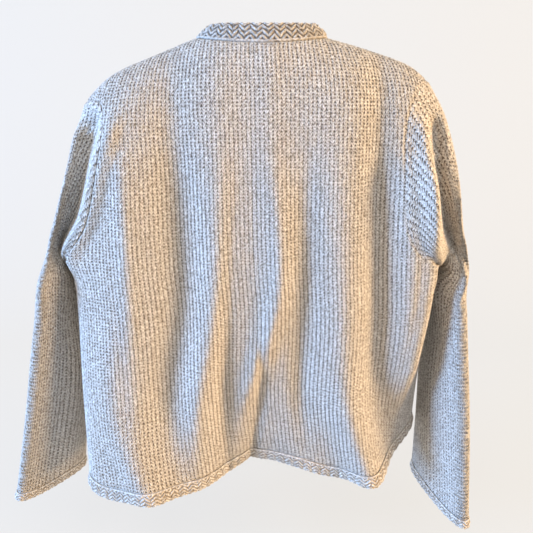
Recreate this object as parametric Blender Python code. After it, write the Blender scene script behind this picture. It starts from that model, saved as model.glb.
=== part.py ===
"""A chunky knitted cardigan, hanging filled out and hollow, with no wearer.

Metres, +Z up. The origin lies midway between the two neck ends of the shoulder seams,
where a shoulder line holds the garment. The back faces -Y and the open front +Y, so +X is
the wearer's right. Each knitted piece is a wall through rows that run across it, worked out
from the tables below: a row for each height, edge point, sleeve section or fold.
"""

import bmesh
import bpy
import numpy as np

# Cloth
WALL = 0.0022
SEAM_GAP = 0.0003
OFFSET_ROUNDS = 4

# Number of steps that the walls are drawn with
BODY_ROWS_BELOW = 11
ARMHOLE_ROWS = 11
COLUMNS_SHOULDER_LEFT = 10
COLUMNS_NECK = 11
COLUMNS_SHOULDER_RIGHT = 9
COLUMNS_NECK_LEFT_FRONT = 5
COLUMNS_NECK_RIGHT_FRONT = 6
SLEEVE_ROWS = 16
ROW_SAMPLES = 241

# Body
UNDERARM_Z = -0.280
NECK_HALF = 0.078
BACK_NECK_DROP = 0.007
FRONT_NECK_DROP = 0.074
NECK_ROUNDNESS = 2.3
NECK_CROWDING = 1.16
SHOULDER_ROLL = 0.082
BACK_FULLNESS = 2.6
FRONT_FULLNESS = 2.1
NECK_CROWN = 0.016

# Trims
HEM_TRIM = 0.0185
NECK_TRIM = 0.0205
FRONT_TRIM = 0.0205
CUFF_TRIM = 0.0125
TRIM_THICK = 0.0085
CUFF_THICK = 0.0070
RIDGE = 0.0009
OPENING_HALF = 0.0006
NECK_STAND = 0.8


class Table:
    """Named columns read from short rows, with a smooth curve through any column."""

    def __init__(self, columns, *rows):
        self.columns = dict(zip(columns.split(), np.array(sorted(rows), float).T))
        self.knots = self.columns[columns.split()[0]]

    def at(self, name, place):
        values = self.columns[name]
        slopes = np.gradient(values, self.knots)
        place = np.clip(place, self.knots[0], self.knots[-1])
        low = np.clip(np.searchsorted(self.knots, place) - 1, 0, len(self.knots) - 2)
        span = self.knots[low + 1] - self.knots[low]
        part = (place - self.knots[low]) / span
        rest = 1 - part
        return (
            (1 + 2 * part) * rest**2 * values[low]
            + part * rest**2 * span * slopes[low]
            + part**2 * (3 - 2 * part) * values[low + 1]
            - part**2 * rest * span * slopes[low + 1]
        )


# Horizontal sections of the body: the side seams hang at left_y and right_y
LEVELS = Table(
    "z centre half_width left_y right_y back_depth front_depth",
    (-0.615, -0.011, 0.2525, -0.012, 0.064, 0.072, 0.050),
    (-0.480, -0.012, 0.2510, -0.002, 0.044, 0.064, 0.060),
    (-0.340, -0.009, 0.2510, 0.008, 0.022, 0.062, 0.066),
    (-0.280, -0.012, 0.2480, 0.010, 0.016, 0.062, 0.066),
    (-0.170, -0.010, 0.2360, 0.004, 0.008, 0.060, 0.064),
    (-0.050, -0.008, 0.2300, 0.000, 0.002, 0.058, 0.058),
    (0.020, -0.004, 0.2280, 0.000, 0.000, 0.056, 0.054),
)

# The shoulder line from tip to tip, which the cloth rolls over
SHOULDER = Table(
    "x z",
    (-0.2200, -0.0740),
    (-0.2033, -0.0575),
    (-0.1872, -0.0445),
    (-0.1676, -0.0343),
    (-0.1373, -0.0225),
    (-0.1117, -0.0126),
    (-0.0780, 0.0000),
    (0.0780, 0.0000),
    (0.0989, -0.0053),
    (0.1211, -0.0111),
    (0.1410, -0.0171),
    (0.1620, -0.0238),
    (0.1836, -0.0330),
    (0.2040, -0.0480),
)
TIP_LEFT = -0.2200
TIP_RIGHT = 0.2040

# Armhole edges, from the underarm up to the shoulder tip
ARMHOLE_LEFT = Table(
    "z x",
    (-0.280, -0.2600),
    (-0.262, -0.2480),
    (-0.236, -0.2310),
    (-0.205, -0.2170),
    (-0.166, -0.2030),
    (-0.125, -0.1900),
    (-0.098, -0.1930),
    (-0.074, -0.2200),
)
ARMHOLE_RIGHT = Table(
    "z x",
    (-0.280, 0.2360),
    (-0.272, 0.2180),
    (-0.262, 0.2040),
    (-0.248, 0.1930),
    (-0.225, 0.1835),
    (-0.190, 0.1780),
    (-0.150, 0.1750),
    (-0.111, 0.1750),
    (-0.080, 0.1830),
    (-0.048, 0.2040),
)

# Lower edge of the panels, above the hem trim
BACK_HEM = Table(
    "x z",
    (-0.264, -0.612),
    (-0.228, -0.617),
    (-0.175, -0.610),
    (-0.120, -0.611),
    (-0.085, -0.609),
    (-0.058, -0.604),
    (-0.034, -0.592),
    (-0.010, -0.587),
    (0.056, -0.590),
    (0.100, -0.602),
    (0.152, -0.605),
    (0.180, -0.602),
    (0.200, -0.583),
    (0.242, -0.553),
)
FRONT_HEM = Table(
    "x z",
    (-0.264, -0.612),
    (-0.150, -0.596),
    (0.000, -0.586),
    (0.130, -0.578),
    (0.200, -0.566),
    (0.242, -0.553),
)

# Folds: where each lies at four heights, its half width, and how far it stands out there
FOLD_HEIGHTS = {"yoke": -0.105, "chest": -0.320, "waist": -0.500, "hem": -0.610}
FOLD_COLUMNS = "yoke chest waist hem width out_yoke out_chest out_waist out_hem"
BACK_FOLDS = {
    "left lobe": (-0.172, -0.188, -0.205, -0.168, 0.032, 0.008, 0.011, 0.012, 0.018),
    "left valley": (-0.105, -0.107, -0.133, -0.128, 0.022, -0.007, -0.010, -0.008, -0.002),
    "left ridge": (-0.050, -0.060, -0.088, -0.088, 0.020, 0.002, 0.004, 0.006, 0.003),
    "left groove": (-0.030, -0.045, -0.057, -0.056, 0.010, 0.000, -0.002, -0.005, -0.003),
    "middle ridge": (0.010, 0.021, -0.027, -0.040, 0.016, 0.002, 0.006, 0.005, 0.002),
    "middle crease": (0.000, 0.000, -0.005, -0.020, 0.007, 0.000, 0.000, -0.006, -0.009),
    "middle valley": (-0.020, -0.020, -0.020, -0.018, 0.070, 0.000, -0.002, -0.014, -0.046),
    "right groove": (0.055, 0.056, 0.058, 0.070, 0.014, 0.000, -0.005, -0.004, 0.000),
    "right lobe": (0.095, 0.109, 0.127, 0.163, 0.033, 0.003, 0.008, 0.016, 0.038),
    "right valley": (0.140, 0.155, 0.168, 0.190, 0.016, -0.008, -0.009, -0.004, 0.000),
    "right edge": (0.190, 0.196, 0.202, 0.212, 0.018, 0.004, 0.007, 0.004, 0.000),
}
FRONT_FOLDS = {
    "left lobe": (-0.165, -0.170, -0.176, -0.170, 0.030, 0.002, 0.006, 0.009, 0.013),
    "left valley": (-0.110, -0.118, -0.118, -0.110, 0.022, -0.003, -0.007, -0.008, -0.008),
    "left edge": (-0.060, -0.062, -0.060, -0.058, 0.024, 0.000, 0.003, 0.006, 0.008),
    "right edge": (0.050, 0.052, 0.050, 0.050, 0.024, 0.000, 0.004, 0.006, 0.010),
    "right valley": (0.095, 0.100, 0.104, 0.108, 0.020, -0.003, -0.006, -0.009, -0.010),
    "right lobe": (0.140, 0.148, 0.155, 0.160, 0.028, 0.002, 0.005, 0.008, 0.012),
}

# Sleeve sections, from the armhole to the cuff: the edge away from the body (o), the edge
# next to it (i), and half the thickness between its two faces
SLEEVE_COLUMNS = "along ox oy oz ix iy iz half_thick"
SLEEVE_RIGHT = Table(
    SLEEVE_COLUMNS,
    (0.00, 0.2040, 0.000, -0.0480, 0.2360, 0.016, -0.2800, 0.048),
    (0.06, 0.2270, -0.004, -0.0860, 0.2490, 0.022, -0.2840, 0.044),
    (0.12, 0.2410, -0.008, -0.1250, 0.2540, 0.034, -0.2940, 0.036),
    (0.20, 0.2540, -0.014, -0.1770, 0.2550, 0.051, -0.3160, 0.025),
    (0.28, 0.2620, -0.020, -0.2276, 0.2540, 0.065, -0.3420, 0.019),
    (0.36, 0.2680, -0.026, -0.2780, 0.2560, 0.075, -0.3680, 0.018),
    (0.52, 0.2750, -0.038, -0.3790, 0.2600, 0.085, -0.4300, 0.017),
    (0.72, 0.2900, -0.046, -0.5080, 0.2640, 0.086, -0.5340, 0.017),
    (1.00, 0.3060, -0.056, -0.6760, 0.2610, 0.072, -0.6620, 0.016),
)
SLEEVE_LEFT = Table(
    SLEEVE_COLUMNS,
    (0.00, -0.2200, 0.000, -0.0740, -0.2600, 0.010, -0.2800, 0.048),
    (0.06, -0.2340, -0.003, -0.1090, -0.2730, 0.016, -0.2840, 0.043),
    (0.12, -0.2440, -0.006, -0.1420, -0.2820, 0.026, -0.2940, 0.036),
    (0.20, -0.2600, -0.010, -0.1900, -0.2880, 0.043, -0.3160, 0.027),
    (0.28, -0.2770, -0.014, -0.2400, -0.2890, 0.059, -0.3440, 0.020),
    (0.36, -0.2930, -0.018, -0.2900, -0.2890, 0.072, -0.3740, 0.018),
    (0.52, -0.3150, -0.022, -0.3850, -0.2900, 0.084, -0.4350, 0.018),
    (0.72, -0.3400, -0.024, -0.5000, -0.2960, 0.084, -0.5280, 0.018),
    (1.00, -0.3780, -0.024, -0.6530, -0.3080, 0.074, -0.6560, 0.017),
)
# How far along the sleeve the armhole's own outline lasts, and where the sections have
# turned from facing sideways to facing down; rows lie closer together near the armhole
SLEEVE_BLEND = 0.20
SLEEVE_TURN = 0.80
SLEEVE_CROWDING = 1.35
SLEEVE_FULLNESS = 2.5
EASE_ROUNDS = 6
EASE_ROWS = 10

# Sleeve folds: where each lies round the section (0 outer edge, 0.5 next to the body, then
# back along the far face) and along the sleeve, their half widths, and how far it stands out
BULGE_COLUMNS = "around along wide long out"
BULGES_RIGHT = {
    "pouch": (0.340, 0.110, 0.075, 0.060, 0.018),
    "outer roll": (0.06, 0.250, 0.060, 0.200, 0.003),
    "elbow crease": (0.25, 0.500, 0.050, 0.070, -0.005),
    "lower ridge": (0.20, 0.740, 0.060, 0.140, 0.004),
}
BULGES_LEFT = {
    "crest": (0.300, 0.050, 0.100, 0.040, 0.012),
    "elbow crease": (0.27, 0.460, 0.050, 0.070, -0.005),
    "lower ridge": (0.30, 0.700, 0.060, 0.150, 0.004),
}

OATMEAL = (0.56, 0.50, 0.44, 1.0)
TRIM_OATMEAL = (0.58, 0.53, 0.47, 1.0)


def smooth_step(part):
    part = np.clip(part, 0, 1)
    return part * part * (3 - 2 * part)


def unit(vectors):
    return vectors / np.maximum(np.linalg.norm(vectors, axis=-1, keepdims=True), 1e-12)


def fold_relief(folds, x, z):
    """How far the folds push the cloth out, at each point of a panel."""
    heights = list(FOLD_HEIGHTS.values())
    names = FOLD_COLUMNS.split()
    relief = np.zeros_like(x)
    for row in folds.values():
        fold = dict(zip(names, row))
        track = Table("z x out", *[
            (height, fold[name], fold["out_" + name])
            for name, height in zip(FOLD_HEIGHTS, heights)
        ])
        relief += track.at("out", z) * np.exp(-(((x - track.at("x", z)) / fold["width"]) ** 2))
    return relief


def shoulder_z(x):
    """The shoulder line, which goes on as a low crown over the neck."""
    crown = NECK_CROWN * (1 - (x / NECK_HALF) ** 2)
    return np.where(np.abs(x) < NECK_HALF, crown, SHOULDER.at("z", x))


def top_z(x, side):
    """Upper edge of a panel: its shoulders and, between them, its half of the neckline."""
    part = np.clip(np.abs(x) / NECK_HALF, 0, 1)
    if side < 0:
        neck = -BACK_NECK_DROP * (1 - part**2)
    else:
        neck = -FRONT_NECK_DROP * (1 - part**NECK_ROUNDNESS) ** (1 / NECK_ROUNDNESS)
    return np.where(np.abs(x) < NECK_HALF, neck, SHOULDER.at("z", x))


def body_row(side, height, left_x, right_x):
    """One row across a panel, finely sampled: side -1 is the back and +1 the front, and
    height gives the row's z at each x."""
    fullness = BACK_FULLNESS if side < 0 else FRONT_FULLNESS
    depth_name = "back_depth" if side < 0 else "front_depth"
    z = height(np.linspace(left_x, right_x, ROW_SAMPLES))
    for _ in range(4):
        centre = LEVELS.at("centre", z)
        half = LEVELS.at("half_width", z)
        ends = np.clip([(left_x - centre[0]) / half[0], (right_x - centre[-1]) / half[-1]], -1, 1)
        turn = np.sign(ends) * np.arcsin(np.abs(ends) ** (fullness / 2))
        angle = np.linspace(turn[0], turn[1], ROW_SAMPLES)
        x = centre + half * np.sign(angle) * np.abs(np.sin(angle)) ** (2 / fullness)
        z = height(x)
    across = (x - centre + half) / (2 * half)
    left_y = LEVELS.at("left_y", z)
    y = left_y + (LEVELS.at("right_y", z) - left_y) * across
    y += side * LEVELS.at(depth_name, z) * np.abs(np.cos(angle)) ** (2 / fullness)
    folds = BACK_FOLDS if side < 0 else FRONT_FOLDS
    y += side * fold_relief(folds, x, z) * smooth_step(np.cos(angle) / 0.45)
    under = np.clip((shoulder_z(x) - z) / SHOULDER_ROLL, 0, 1)
    y *= np.sqrt(1 - (1 - under) ** 2)
    return np.stack([x, y, z], axis=1)


def run_length(points):
    steps = np.linalg.norm(np.diff(points, axis=0), axis=1)
    return np.concatenate([[0], np.cumsum(steps)])


def along(points, fractions):
    """Points at the given fractions of a line's length."""
    length = run_length(points)
    place = np.asarray(fractions) * length[-1]
    return np.stack([np.interp(place, length, points[:, axis]) for axis in range(3)], axis=1)


def spread(places, counts):
    """Places with the given number of equal steps between neighbours."""
    steps = [np.linspace(a, b, n, endpoint=False) for a, b, n in zip(places, places[1:], counts)]
    return np.concatenate(steps + [places[-1:]])


def armhole_rise(step):
    """Share of the way up the armhole at a row, closer together near both its ends."""
    return (1 - np.cos(np.pi * step / ARMHOLE_ROWS)) / 2


def side_seam(hand, step):
    """A point of a side seam: hand -1 is the left seam and +1 the right."""
    z = UNDERARM_Z
    for _ in range(6):
        x = LEVELS.at("centre", z) + hand * LEVELS.at("half_width", z)
        z = UNDERARM_Z + step / BODY_ROWS_BELOW * (BACK_HEM.at("z", x) - UNDERARM_Z)
    return x, LEVELS.at("left_y" if hand < 0 else "right_y", z), z


def panel_rows(side, left_edge, right_edge, top_x, seams):
    """The rows of a panel, from its upper edge down to its hem.

    left_edge and right_edge give x at a height, top_x holds the places of the columns on
    the upper edge, and seams names the sides that are side seams, by column and hand.
    """
    hem = BACK_HEM if side < 0 else FRONT_HEM
    even = np.linspace(0, 1, len(top_x))
    crest = body_row(side, lambda x: top_z(x, side), top_x[0], top_x[-1])
    top_fractions = np.interp(top_x, crest[:, 0], run_length(crest) / run_length(crest)[-1])
    tips = top_z(top_x[[0, -1]], side)
    rows = []
    for step in range(ARMHOLE_ROWS, 0, -1):
        rise = armhole_rise(step)
        row = body_row(
            side,
            lambda x, rise=rise: UNDERARM_Z + rise * (top_z(x, side) - UNDERARM_Z),
            left_edge(UNDERARM_Z + rise * (tips[0] - UNDERARM_Z)),
            right_edge(UNDERARM_Z + rise * (tips[1] - UNDERARM_Z)),
        )
        rows.append(along(row, even + (top_fractions - even) * rise**2))
    for step in range(BODY_ROWS_BELOW + 1):
        fall = step / BODY_ROWS_BELOW
        row = body_row(
            side,
            lambda x, fall=fall: UNDERARM_Z + fall * (hem.at("z", x) - UNDERARM_Z),
            left_edge(side_seam(-1, step)[2]),
            right_edge(side_seam(1, step)[2]),
        )
        rows.append(along(row, even))
    rows = np.array(rows)
    on_shoulder = np.abs(top_x) >= NECK_HALF
    rows[0, on_shoulder] = [(x, 0, SHOULDER.at("z", x)) for x in top_x[on_shoulder]]
    for column, hand in seams:
        below = range(BODY_ROWS_BELOW + 1)
        rows[ARMHOLE_ROWS:, column] = [side_seam(hand, step) for step in below]
    return rows


def left_side(z):
    """The back and the left front's outer edge: side seam, then armhole."""
    seam = LEVELS.at("centre", z) - LEVELS.at("half_width", z)
    return np.where(np.asarray(z) > UNDERARM_Z, ARMHOLE_LEFT.at("x", z), seam).item()


def right_side(z):
    seam = LEVELS.at("centre", z) + LEVELS.at("half_width", z)
    return np.where(np.asarray(z) > UNDERARM_Z, ARMHOLE_RIGHT.at("x", z), seam).item()


def opening_x(z):
    """Middle of the front opening."""
    return LEVELS.at("centre", z).item()


def neckline_places(hand, count):
    """Where the columns meet a front's half of the neckline, evenly along its curve."""
    end_x = opening_x(-FRONT_NECK_DROP) + hand * FRONT_TRIM
    x = np.linspace(hand * NECK_HALF, end_x, ROW_SAMPLES)
    curve = np.stack([x, 0 * x, top_z(x, 1)], axis=1)
    return along(curve, np.linspace(0, 1, count + 1) ** NECK_CROWDING)[:, 0]


def back_rows():
    top_x = spread(
        [TIP_LEFT, -NECK_HALF, NECK_HALF, TIP_RIGHT],
        [COLUMNS_SHOULDER_LEFT, COLUMNS_NECK, COLUMNS_SHOULDER_RIGHT],
    )
    return panel_rows(-1, left_side, right_side, top_x, [(0, -1), (-1, 1)])


def front_left_rows():
    shoulder = spread([TIP_LEFT, -NECK_HALF], [COLUMNS_SHOULDER_LEFT])
    top_x = np.concatenate([shoulder, neckline_places(-1, COLUMNS_NECK_LEFT_FRONT)[1:]])
    return panel_rows(1, left_side, lambda z: opening_x(z) - FRONT_TRIM, top_x, [(0, -1)])


def front_right_rows():
    shoulder = spread([NECK_HALF, TIP_RIGHT], [COLUMNS_SHOULDER_RIGHT])
    top_x = np.concatenate([neckline_places(1, COLUMNS_NECK_RIGHT_FRONT)[:0:-1], shoulder])
    return panel_rows(1, lambda z: opening_x(z) + FRONT_TRIM, right_side, top_x, [(-1, 1)])


def sleeve_rows(sections, bulges, back, front):
    """The rings of a sleeve, from its armhole to its cuff.

    back and front are the panels' armhole edges from underarm to shoulder tip. Each ring
    starts at its outer edge, comes down the back of the sleeve and goes up its front.
    """
    armhole = np.concatenate([back[::-1], front[1:-1]])
    count = len(armhole)
    turn = 2 * np.pi * np.arange(count) / count
    t = np.linspace(0, 1, SLEEVE_ROWS + 1) ** SLEEVE_CROWDING
    outer = np.stack([sections.at(name, t) for name in ("ox", "oy", "oz")], axis=1)
    inner = np.stack([sections.at(name, t) for name in ("ix", "iy", "iz")], axis=1)
    centre = (outer + inner) / 2
    half = (outer - inner) / 2
    hand = np.sign(outer[0, 0])
    tilt = np.pi / 2 * smooth_step(t / SLEEVE_TURN)
    heading = np.stack([hand * np.cos(tilt), 0 * tilt, -np.sin(tilt)], axis=1)
    across = hand * unit(np.cross(heading, half))
    thick = sections.at("half_thick", t)[:, None]
    wide = np.sign(np.cos(turn)) * np.abs(np.cos(turn)) ** (2 / SLEEVE_FULLNESS)
    deep = np.sign(np.sin(turn)) * np.abs(np.sin(turn)) ** (2 / SLEEVE_FULLNESS)
    rings = (
        centre[:, None]
        + half[:, None] * wide[None, :, None]
        + (across * thick)[:, None] * deep[None, :, None]
    )
    out = unit(
        unit(half)[:, None] * (np.cos(turn)[None, :] / np.linalg.norm(half, axis=1)[:, None])[..., None]
        + across[:, None] * (np.sin(turn)[None, :] / thick)[..., None]
    )
    for row in bulges.values():
        bulge = dict(zip(BULGE_COLUMNS.split(), row))
        round_by = (turn / (2 * np.pi) - bulge["around"] + 0.5) % 1 - 0.5
        near = np.exp(-((round_by / bulge["wide"]) ** 2))[None, :]
        near = near * np.exp(-(((t - bulge["along"]) / bulge["long"]) ** 2))[:, None]
        rings = rings + out * (near * bulge["out"])[..., None]
    kept = 1 - smooth_step(t / SLEEVE_BLEND)
    return eased(rings + (armhole - rings[0])[None] * kept[:, None, None])


def eased(rings):
    """Evens out the rings nearest the armhole, all but the sleeve's outer edge."""
    count = rings.shape[1]
    turn = 2 * np.pi * np.arange(count) / count
    share = 0.5 * smooth_step((1 - np.cos(turn)) / 0.6)[None, :, None]
    share = share * (1 - smooth_step(np.arange(1, len(rings) - 1) / EASE_ROWS))[:, None, None]
    for _ in range(EASE_ROUNDS):
        around = (np.roll(rings, 1, axis=1) + np.roll(rings, -1, axis=1))[1:-1] / 2
        lengthwise = (rings[:-2] + rings[2:]) / 2
        rings[1:-1] += share * ((around + lengthwise) / 2 - rings[1:-1])
    return rings


def grid_normals(rows, closed, flip):
    """Outward unit normals at the points of a grid of rows."""
    if closed:
        ahead = np.roll(rows, -1, axis=1) - np.roll(rows, 1, axis=1)
    else:
        ahead = np.gradient(rows, axis=1)
    down = np.gradient(rows, axis=0)
    normals = np.cross(down, ahead)
    return unit(normals) * (-1 if flip else 1)


def shared_normals(grids):
    """Gives neighbours one normal wherever their grids meet, so that walls meet squarely."""
    sums = {}
    for points, normals in grids.values():
        for point, normal in zip(points.reshape(-1, 3), normals.reshape(-1, 3)):
            key = tuple(np.round(point, 5))
            sums[key] = sums.get(key, 0) + normal
    for points, normals in grids.values():
        flat = normals.reshape(-1, 3)
        for index, point in enumerate(points.reshape(-1, 3)):
            flat[index] = sums[tuple(np.round(point, 5))]
        flat[:] = unit(flat)


def wall_offsets(normals, closed):
    """Steps from the outer face to the inner one; on a sleeve, evened out so that they keep apart."""
    steps = normals * WALL
    for _ in range(OFFSET_ROUNDS if closed else 0):
        mean = steps.copy()
        mean[1:-1] += (steps[:-2] + steps[2:]) / 2
        mean[1:-1] += (np.roll(steps, 1, axis=1) + np.roll(steps, -1, axis=1))[1:-1] / 2
        mean[1:-1] /= 3
        steps = mean
    return steps


def trimmed_inward(rows, closed):
    """Moves the open edges of a grid back by half the seam gap."""
    rows = rows.copy()
    step = SEAM_GAP / 2
    rows[0] += unit(rows[1] - rows[0]) * step
    rows[-1] += unit(rows[-2] - rows[-1]) * step
    if not closed:
        rows[:, 0] += unit(rows[:, 1] - rows[:, 0]) * step
        rows[:, -1] += unit(rows[:, -2] - rows[:, -1]) * step
    return rows


def wall_mesh(name, outer, inner, closed):
    """A closed wall between two grids of rows."""
    count_rows, count = outer.shape[:2]
    points = np.concatenate([outer.reshape(-1, 3), inner.reshape(-1, 3)])
    inside = count_rows * count
    steps = count if closed else count - 1

    def corner(row, column):
        return row * count + column % count

    faces = []
    for row in range(count_rows - 1):
        for column in range(steps):
            quad = [
                corner(row, column),
                corner(row + 1, column),
                corner(row + 1, column + 1),
                corner(row, column + 1),
            ]
            faces.append(quad)
            faces.append([inside + corner_index for corner_index in reversed(quad)])
    for row, forward in ((0, True), (count_rows - 1, False)):
        for column in range(steps):
            a, b = corner(row, column), corner(row, column + 1)
            quad = [a, b, inside + b, inside + a]
            faces.append(quad if forward else quad[::-1])
    if not closed:
        for column, forward in ((0, False), (count - 1, True)):
            for row in range(count_rows - 1):
                a, b = corner(row, column), corner(row + 1, column)
                quad = [a, b, inside + b, inside + a]
                faces.append(quad if forward else quad[::-1])
    mesh = bpy.data.meshes.new(name)
    mesh.from_pydata(points.tolist(), [], faces)
    return mesh


def trim_section(height, thick, ridges):
    """Cross-section of a braided trim: (out from the cloth's edge, up from its face)."""
    face = (thick - WALL) / 2
    steps = 2 * ridges
    outer = []
    for step in range(steps + 1):
        place = 0.06 + 0.80 * step / steps
        lift = RIDGE if step % 2 else -RIDGE
        rounding = 1 - abs(2 * place - 0.92) ** 4 * 0.35
        outer.append((height * place, face * rounding + lift))
    edge = [(height, 0.30 * face), (height, -WALL - 0.30 * face)]
    inner = [(height * 0.86, -WALL - face), (height * 0.08, -WALL - face)]
    root = [(0.0, -WALL + 0.0002), (0.0, -0.0002)]
    return np.array(outer + edge + inner + root)


def trim_mesh(name, path, out, up, section, closed=False):
    """A trim that follows path, with its section laid along out and up."""
    rings = (
        (path + out * SEAM_GAP)[:, None]
        + out[:, None] * section[None, :, :1]
        + up[:, None] * section[None, :, 1:]
    )
    count, sides = rings.shape[:2]
    faces = []
    for step in range(count if closed else count - 1):
        here, there = step * sides, (step + 1) % count * sides
        for side in range(sides):
            beside = (side + 1) % sides
            faces.append([here + side, here + beside, there + beside, there + side])
    if not closed:
        faces.append(list(range(sides))[::-1])
        faces.append([(count - 1) * sides + side for side in range(sides)])
    mesh = bpy.data.meshes.new(name)
    mesh.from_pydata(rings.reshape(-1, 3).tolist(), [], faces)
    return mesh


def edge_frame(grid, edge, inside, columns=slice(None)):
    """An edge row of a panel: its points, the directions out of the cloth, and its normals."""
    rows, normals = grid
    points = rows[edge][columns]
    return points, unit(points - rows[inside][columns]), normals[edge][columns]


def joined(*frames):
    """One path from several edge frames, each starting where the last one ended."""
    return [
        np.concatenate([field if not index else field[1:] for index, field in enumerate(fields)])
        for fields in zip(*frames)
    ]


def reach_opening(path, out, up):
    """Adds the two ends of a path that runs on, straight, to the front opening."""
    ends = []
    for end, inside, hand in ((0, 1, -1), (-1, -2, 1)):
        slope = (path[end] - path[inside]) / (path[end][0] - path[inside][0])
        reach = opening_x(path[end][2]) + hand * OPENING_HALF - path[end][0]
        ends.append(path[end] + slope * reach)
    upright = unit(out[[0, -1]] * np.array([0, 1, 1]))
    facing = unit(up[[0, -1]] * np.array([0, 1, 1]))
    return (
        np.concatenate([ends[:1], path, ends[1:]]),
        np.concatenate([upright[:1], out, upright[1:]]),
        np.concatenate([facing[:1], up, facing[1:]]),
    )


def hem_frame(grids):
    back_left_to_right = edge_frame(grids["back"], -1, -2)
    left_inward = edge_frame(grids["front_left"], -1, -2, slice(None, None, -1))
    right_inward = edge_frame(grids["front_right"], -1, -2, slice(None, None, -1))
    return reach_opening(*joined(left_inward, back_left_to_right, right_inward))


def neck_frame(grids):
    left = slice(None, COLUMNS_SHOULDER_LEFT - 1, -1)
    middle = slice(COLUMNS_SHOULDER_LEFT, COLUMNS_SHOULDER_LEFT + COLUMNS_NECK + 1)
    right = slice(COLUMNS_NECK_RIGHT_FRONT, None, -1)
    path, out, up = reach_opening(*joined(
        edge_frame(grids["front_left"], 0, 1, left),
        edge_frame(grids["back"], 0, 1, middle),
        edge_frame(grids["front_right"], 0, 1, right),
    ))
    tangent = unit(np.gradient(path, axis=0))
    flat = unit(np.cross(up, tangent))
    flat *= np.sign(np.sum(flat * out))
    stand = NECK_STAND * (1 - np.clip(np.abs(path[:, :1]) / NECK_HALF, 0, 1) ** 2)
    risen = flat + stand * np.array([0, 0, 1])
    risen[[0, -1], 0] = 0
    return path, unit(risen), up


def front_frame(grid, edge, inside):
    rows, normals = (field.transpose(1, 0, 2) for field in grid)
    path, out, up = edge_frame((rows, normals), edge, inside)
    path = path.copy()
    path[0] += unit(path[1] - path[0]) * SEAM_GAP
    path[-1] += unit(path[-2] - path[-1]) * SEAM_GAP
    return path, out, up


def material(name, colour):
    made = bpy.data.materials.new(name)
    made.use_nodes = True
    shader = made.node_tree.nodes["Principled BSDF"]
    shader.inputs["Base Color"].default_value = colour
    shader.inputs["Roughness"].default_value = 0.92
    shader.inputs["Metallic"].default_value = 0.0
    return made


def place(mesh, collection, colour):
    """Adds a piece with its own material, its faces turned outward."""
    whole = bmesh.new()
    whole.from_mesh(mesh)
    bmesh.ops.triangulate(whole, faces=whole.faces, quad_method="SHORT_EDGE")
    bmesh.ops.recalc_face_normals(whole, faces=whole.faces)
    whole.to_mesh(mesh)
    whole.free()
    mesh.shade_smooth()
    mesh.materials.append(material(mesh.name + "_knit", colour))
    collection.objects.link(bpy.data.objects.new(mesh.name, mesh))


def main():
    for thing in list(bpy.data.objects):
        bpy.data.objects.remove(thing)
    collection = bpy.data.collections.new("Cardigan")
    bpy.context.scene.collection.children.link(collection)

    back = back_rows()
    front_left = front_left_rows()
    front_right = front_right_rows()
    armhole = slice(ARMHOLE_ROWS, None, -1)
    sleeve_left = sleeve_rows(
        SLEEVE_LEFT, BULGES_LEFT, back[armhole, 0], front_left[armhole, 0]
    )
    sleeve_right = sleeve_rows(
        SLEEVE_RIGHT, BULGES_RIGHT, back[armhole, -1], front_right[armhole, -1]
    )
    panels = {
        "back": (back, False, False),
        "front_left": (front_left, False, True),
        "front_right": (front_right, False, True),
        "sleeve_left": (sleeve_left, True, False),
        "sleeve_right": (sleeve_right, True, True),
    }
    grids = {
        name: (rows, grid_normals(rows, closed, flip))
        for name, (rows, closed, flip) in panels.items()
    }
    shared_normals(grids)
    for name, (rows, closed, flip) in panels.items():
        normals = grids[name][1]
        outer = trimmed_inward(rows, closed)
        inner = trimmed_inward(rows - wall_offsets(normals, closed), closed)
        place(wall_mesh(name, outer, inner, closed), collection, OATMEAL)

    body_section = trim_section(HEM_TRIM, TRIM_THICK, 3)
    neck_section = trim_section(NECK_TRIM, TRIM_THICK, 3)
    front_section = trim_section(FRONT_TRIM - OPENING_HALF - SEAM_GAP, TRIM_THICK, 3)
    cuff_section = trim_section(CUFF_TRIM, CUFF_THICK, 2)
    trims = {
        "hem_trim": (hem_frame(grids), body_section, False),
        "neck_trim": (neck_frame(grids), neck_section, False),
        "front_trim_left": (front_frame(grids["front_left"], -1, -2), front_section, False),
        "front_trim_right": (front_frame(grids["front_right"], 0, 1), front_section, False),
        "cuff_trim_left": (edge_frame(grids["sleeve_left"], -1, -2), cuff_section, True),
        "cuff_trim_right": (edge_frame(grids["sleeve_right"], -1, -2), cuff_section, True),
    }
    for name, (frame, section, closed) in trims.items():
        place(trim_mesh(name, *frame, section, closed), collection, TRIM_OATMEAL)


main()
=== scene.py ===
"""Looks of a chunky knitted cardigan that hangs filled out and hollow, seen from behind.

Every piece of cloth is a thin shell knitted stitch by stitch over the form of its solid, and
every trim is a braided roll. Metres, +Z up, the back towards -Y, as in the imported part.
"""

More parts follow.
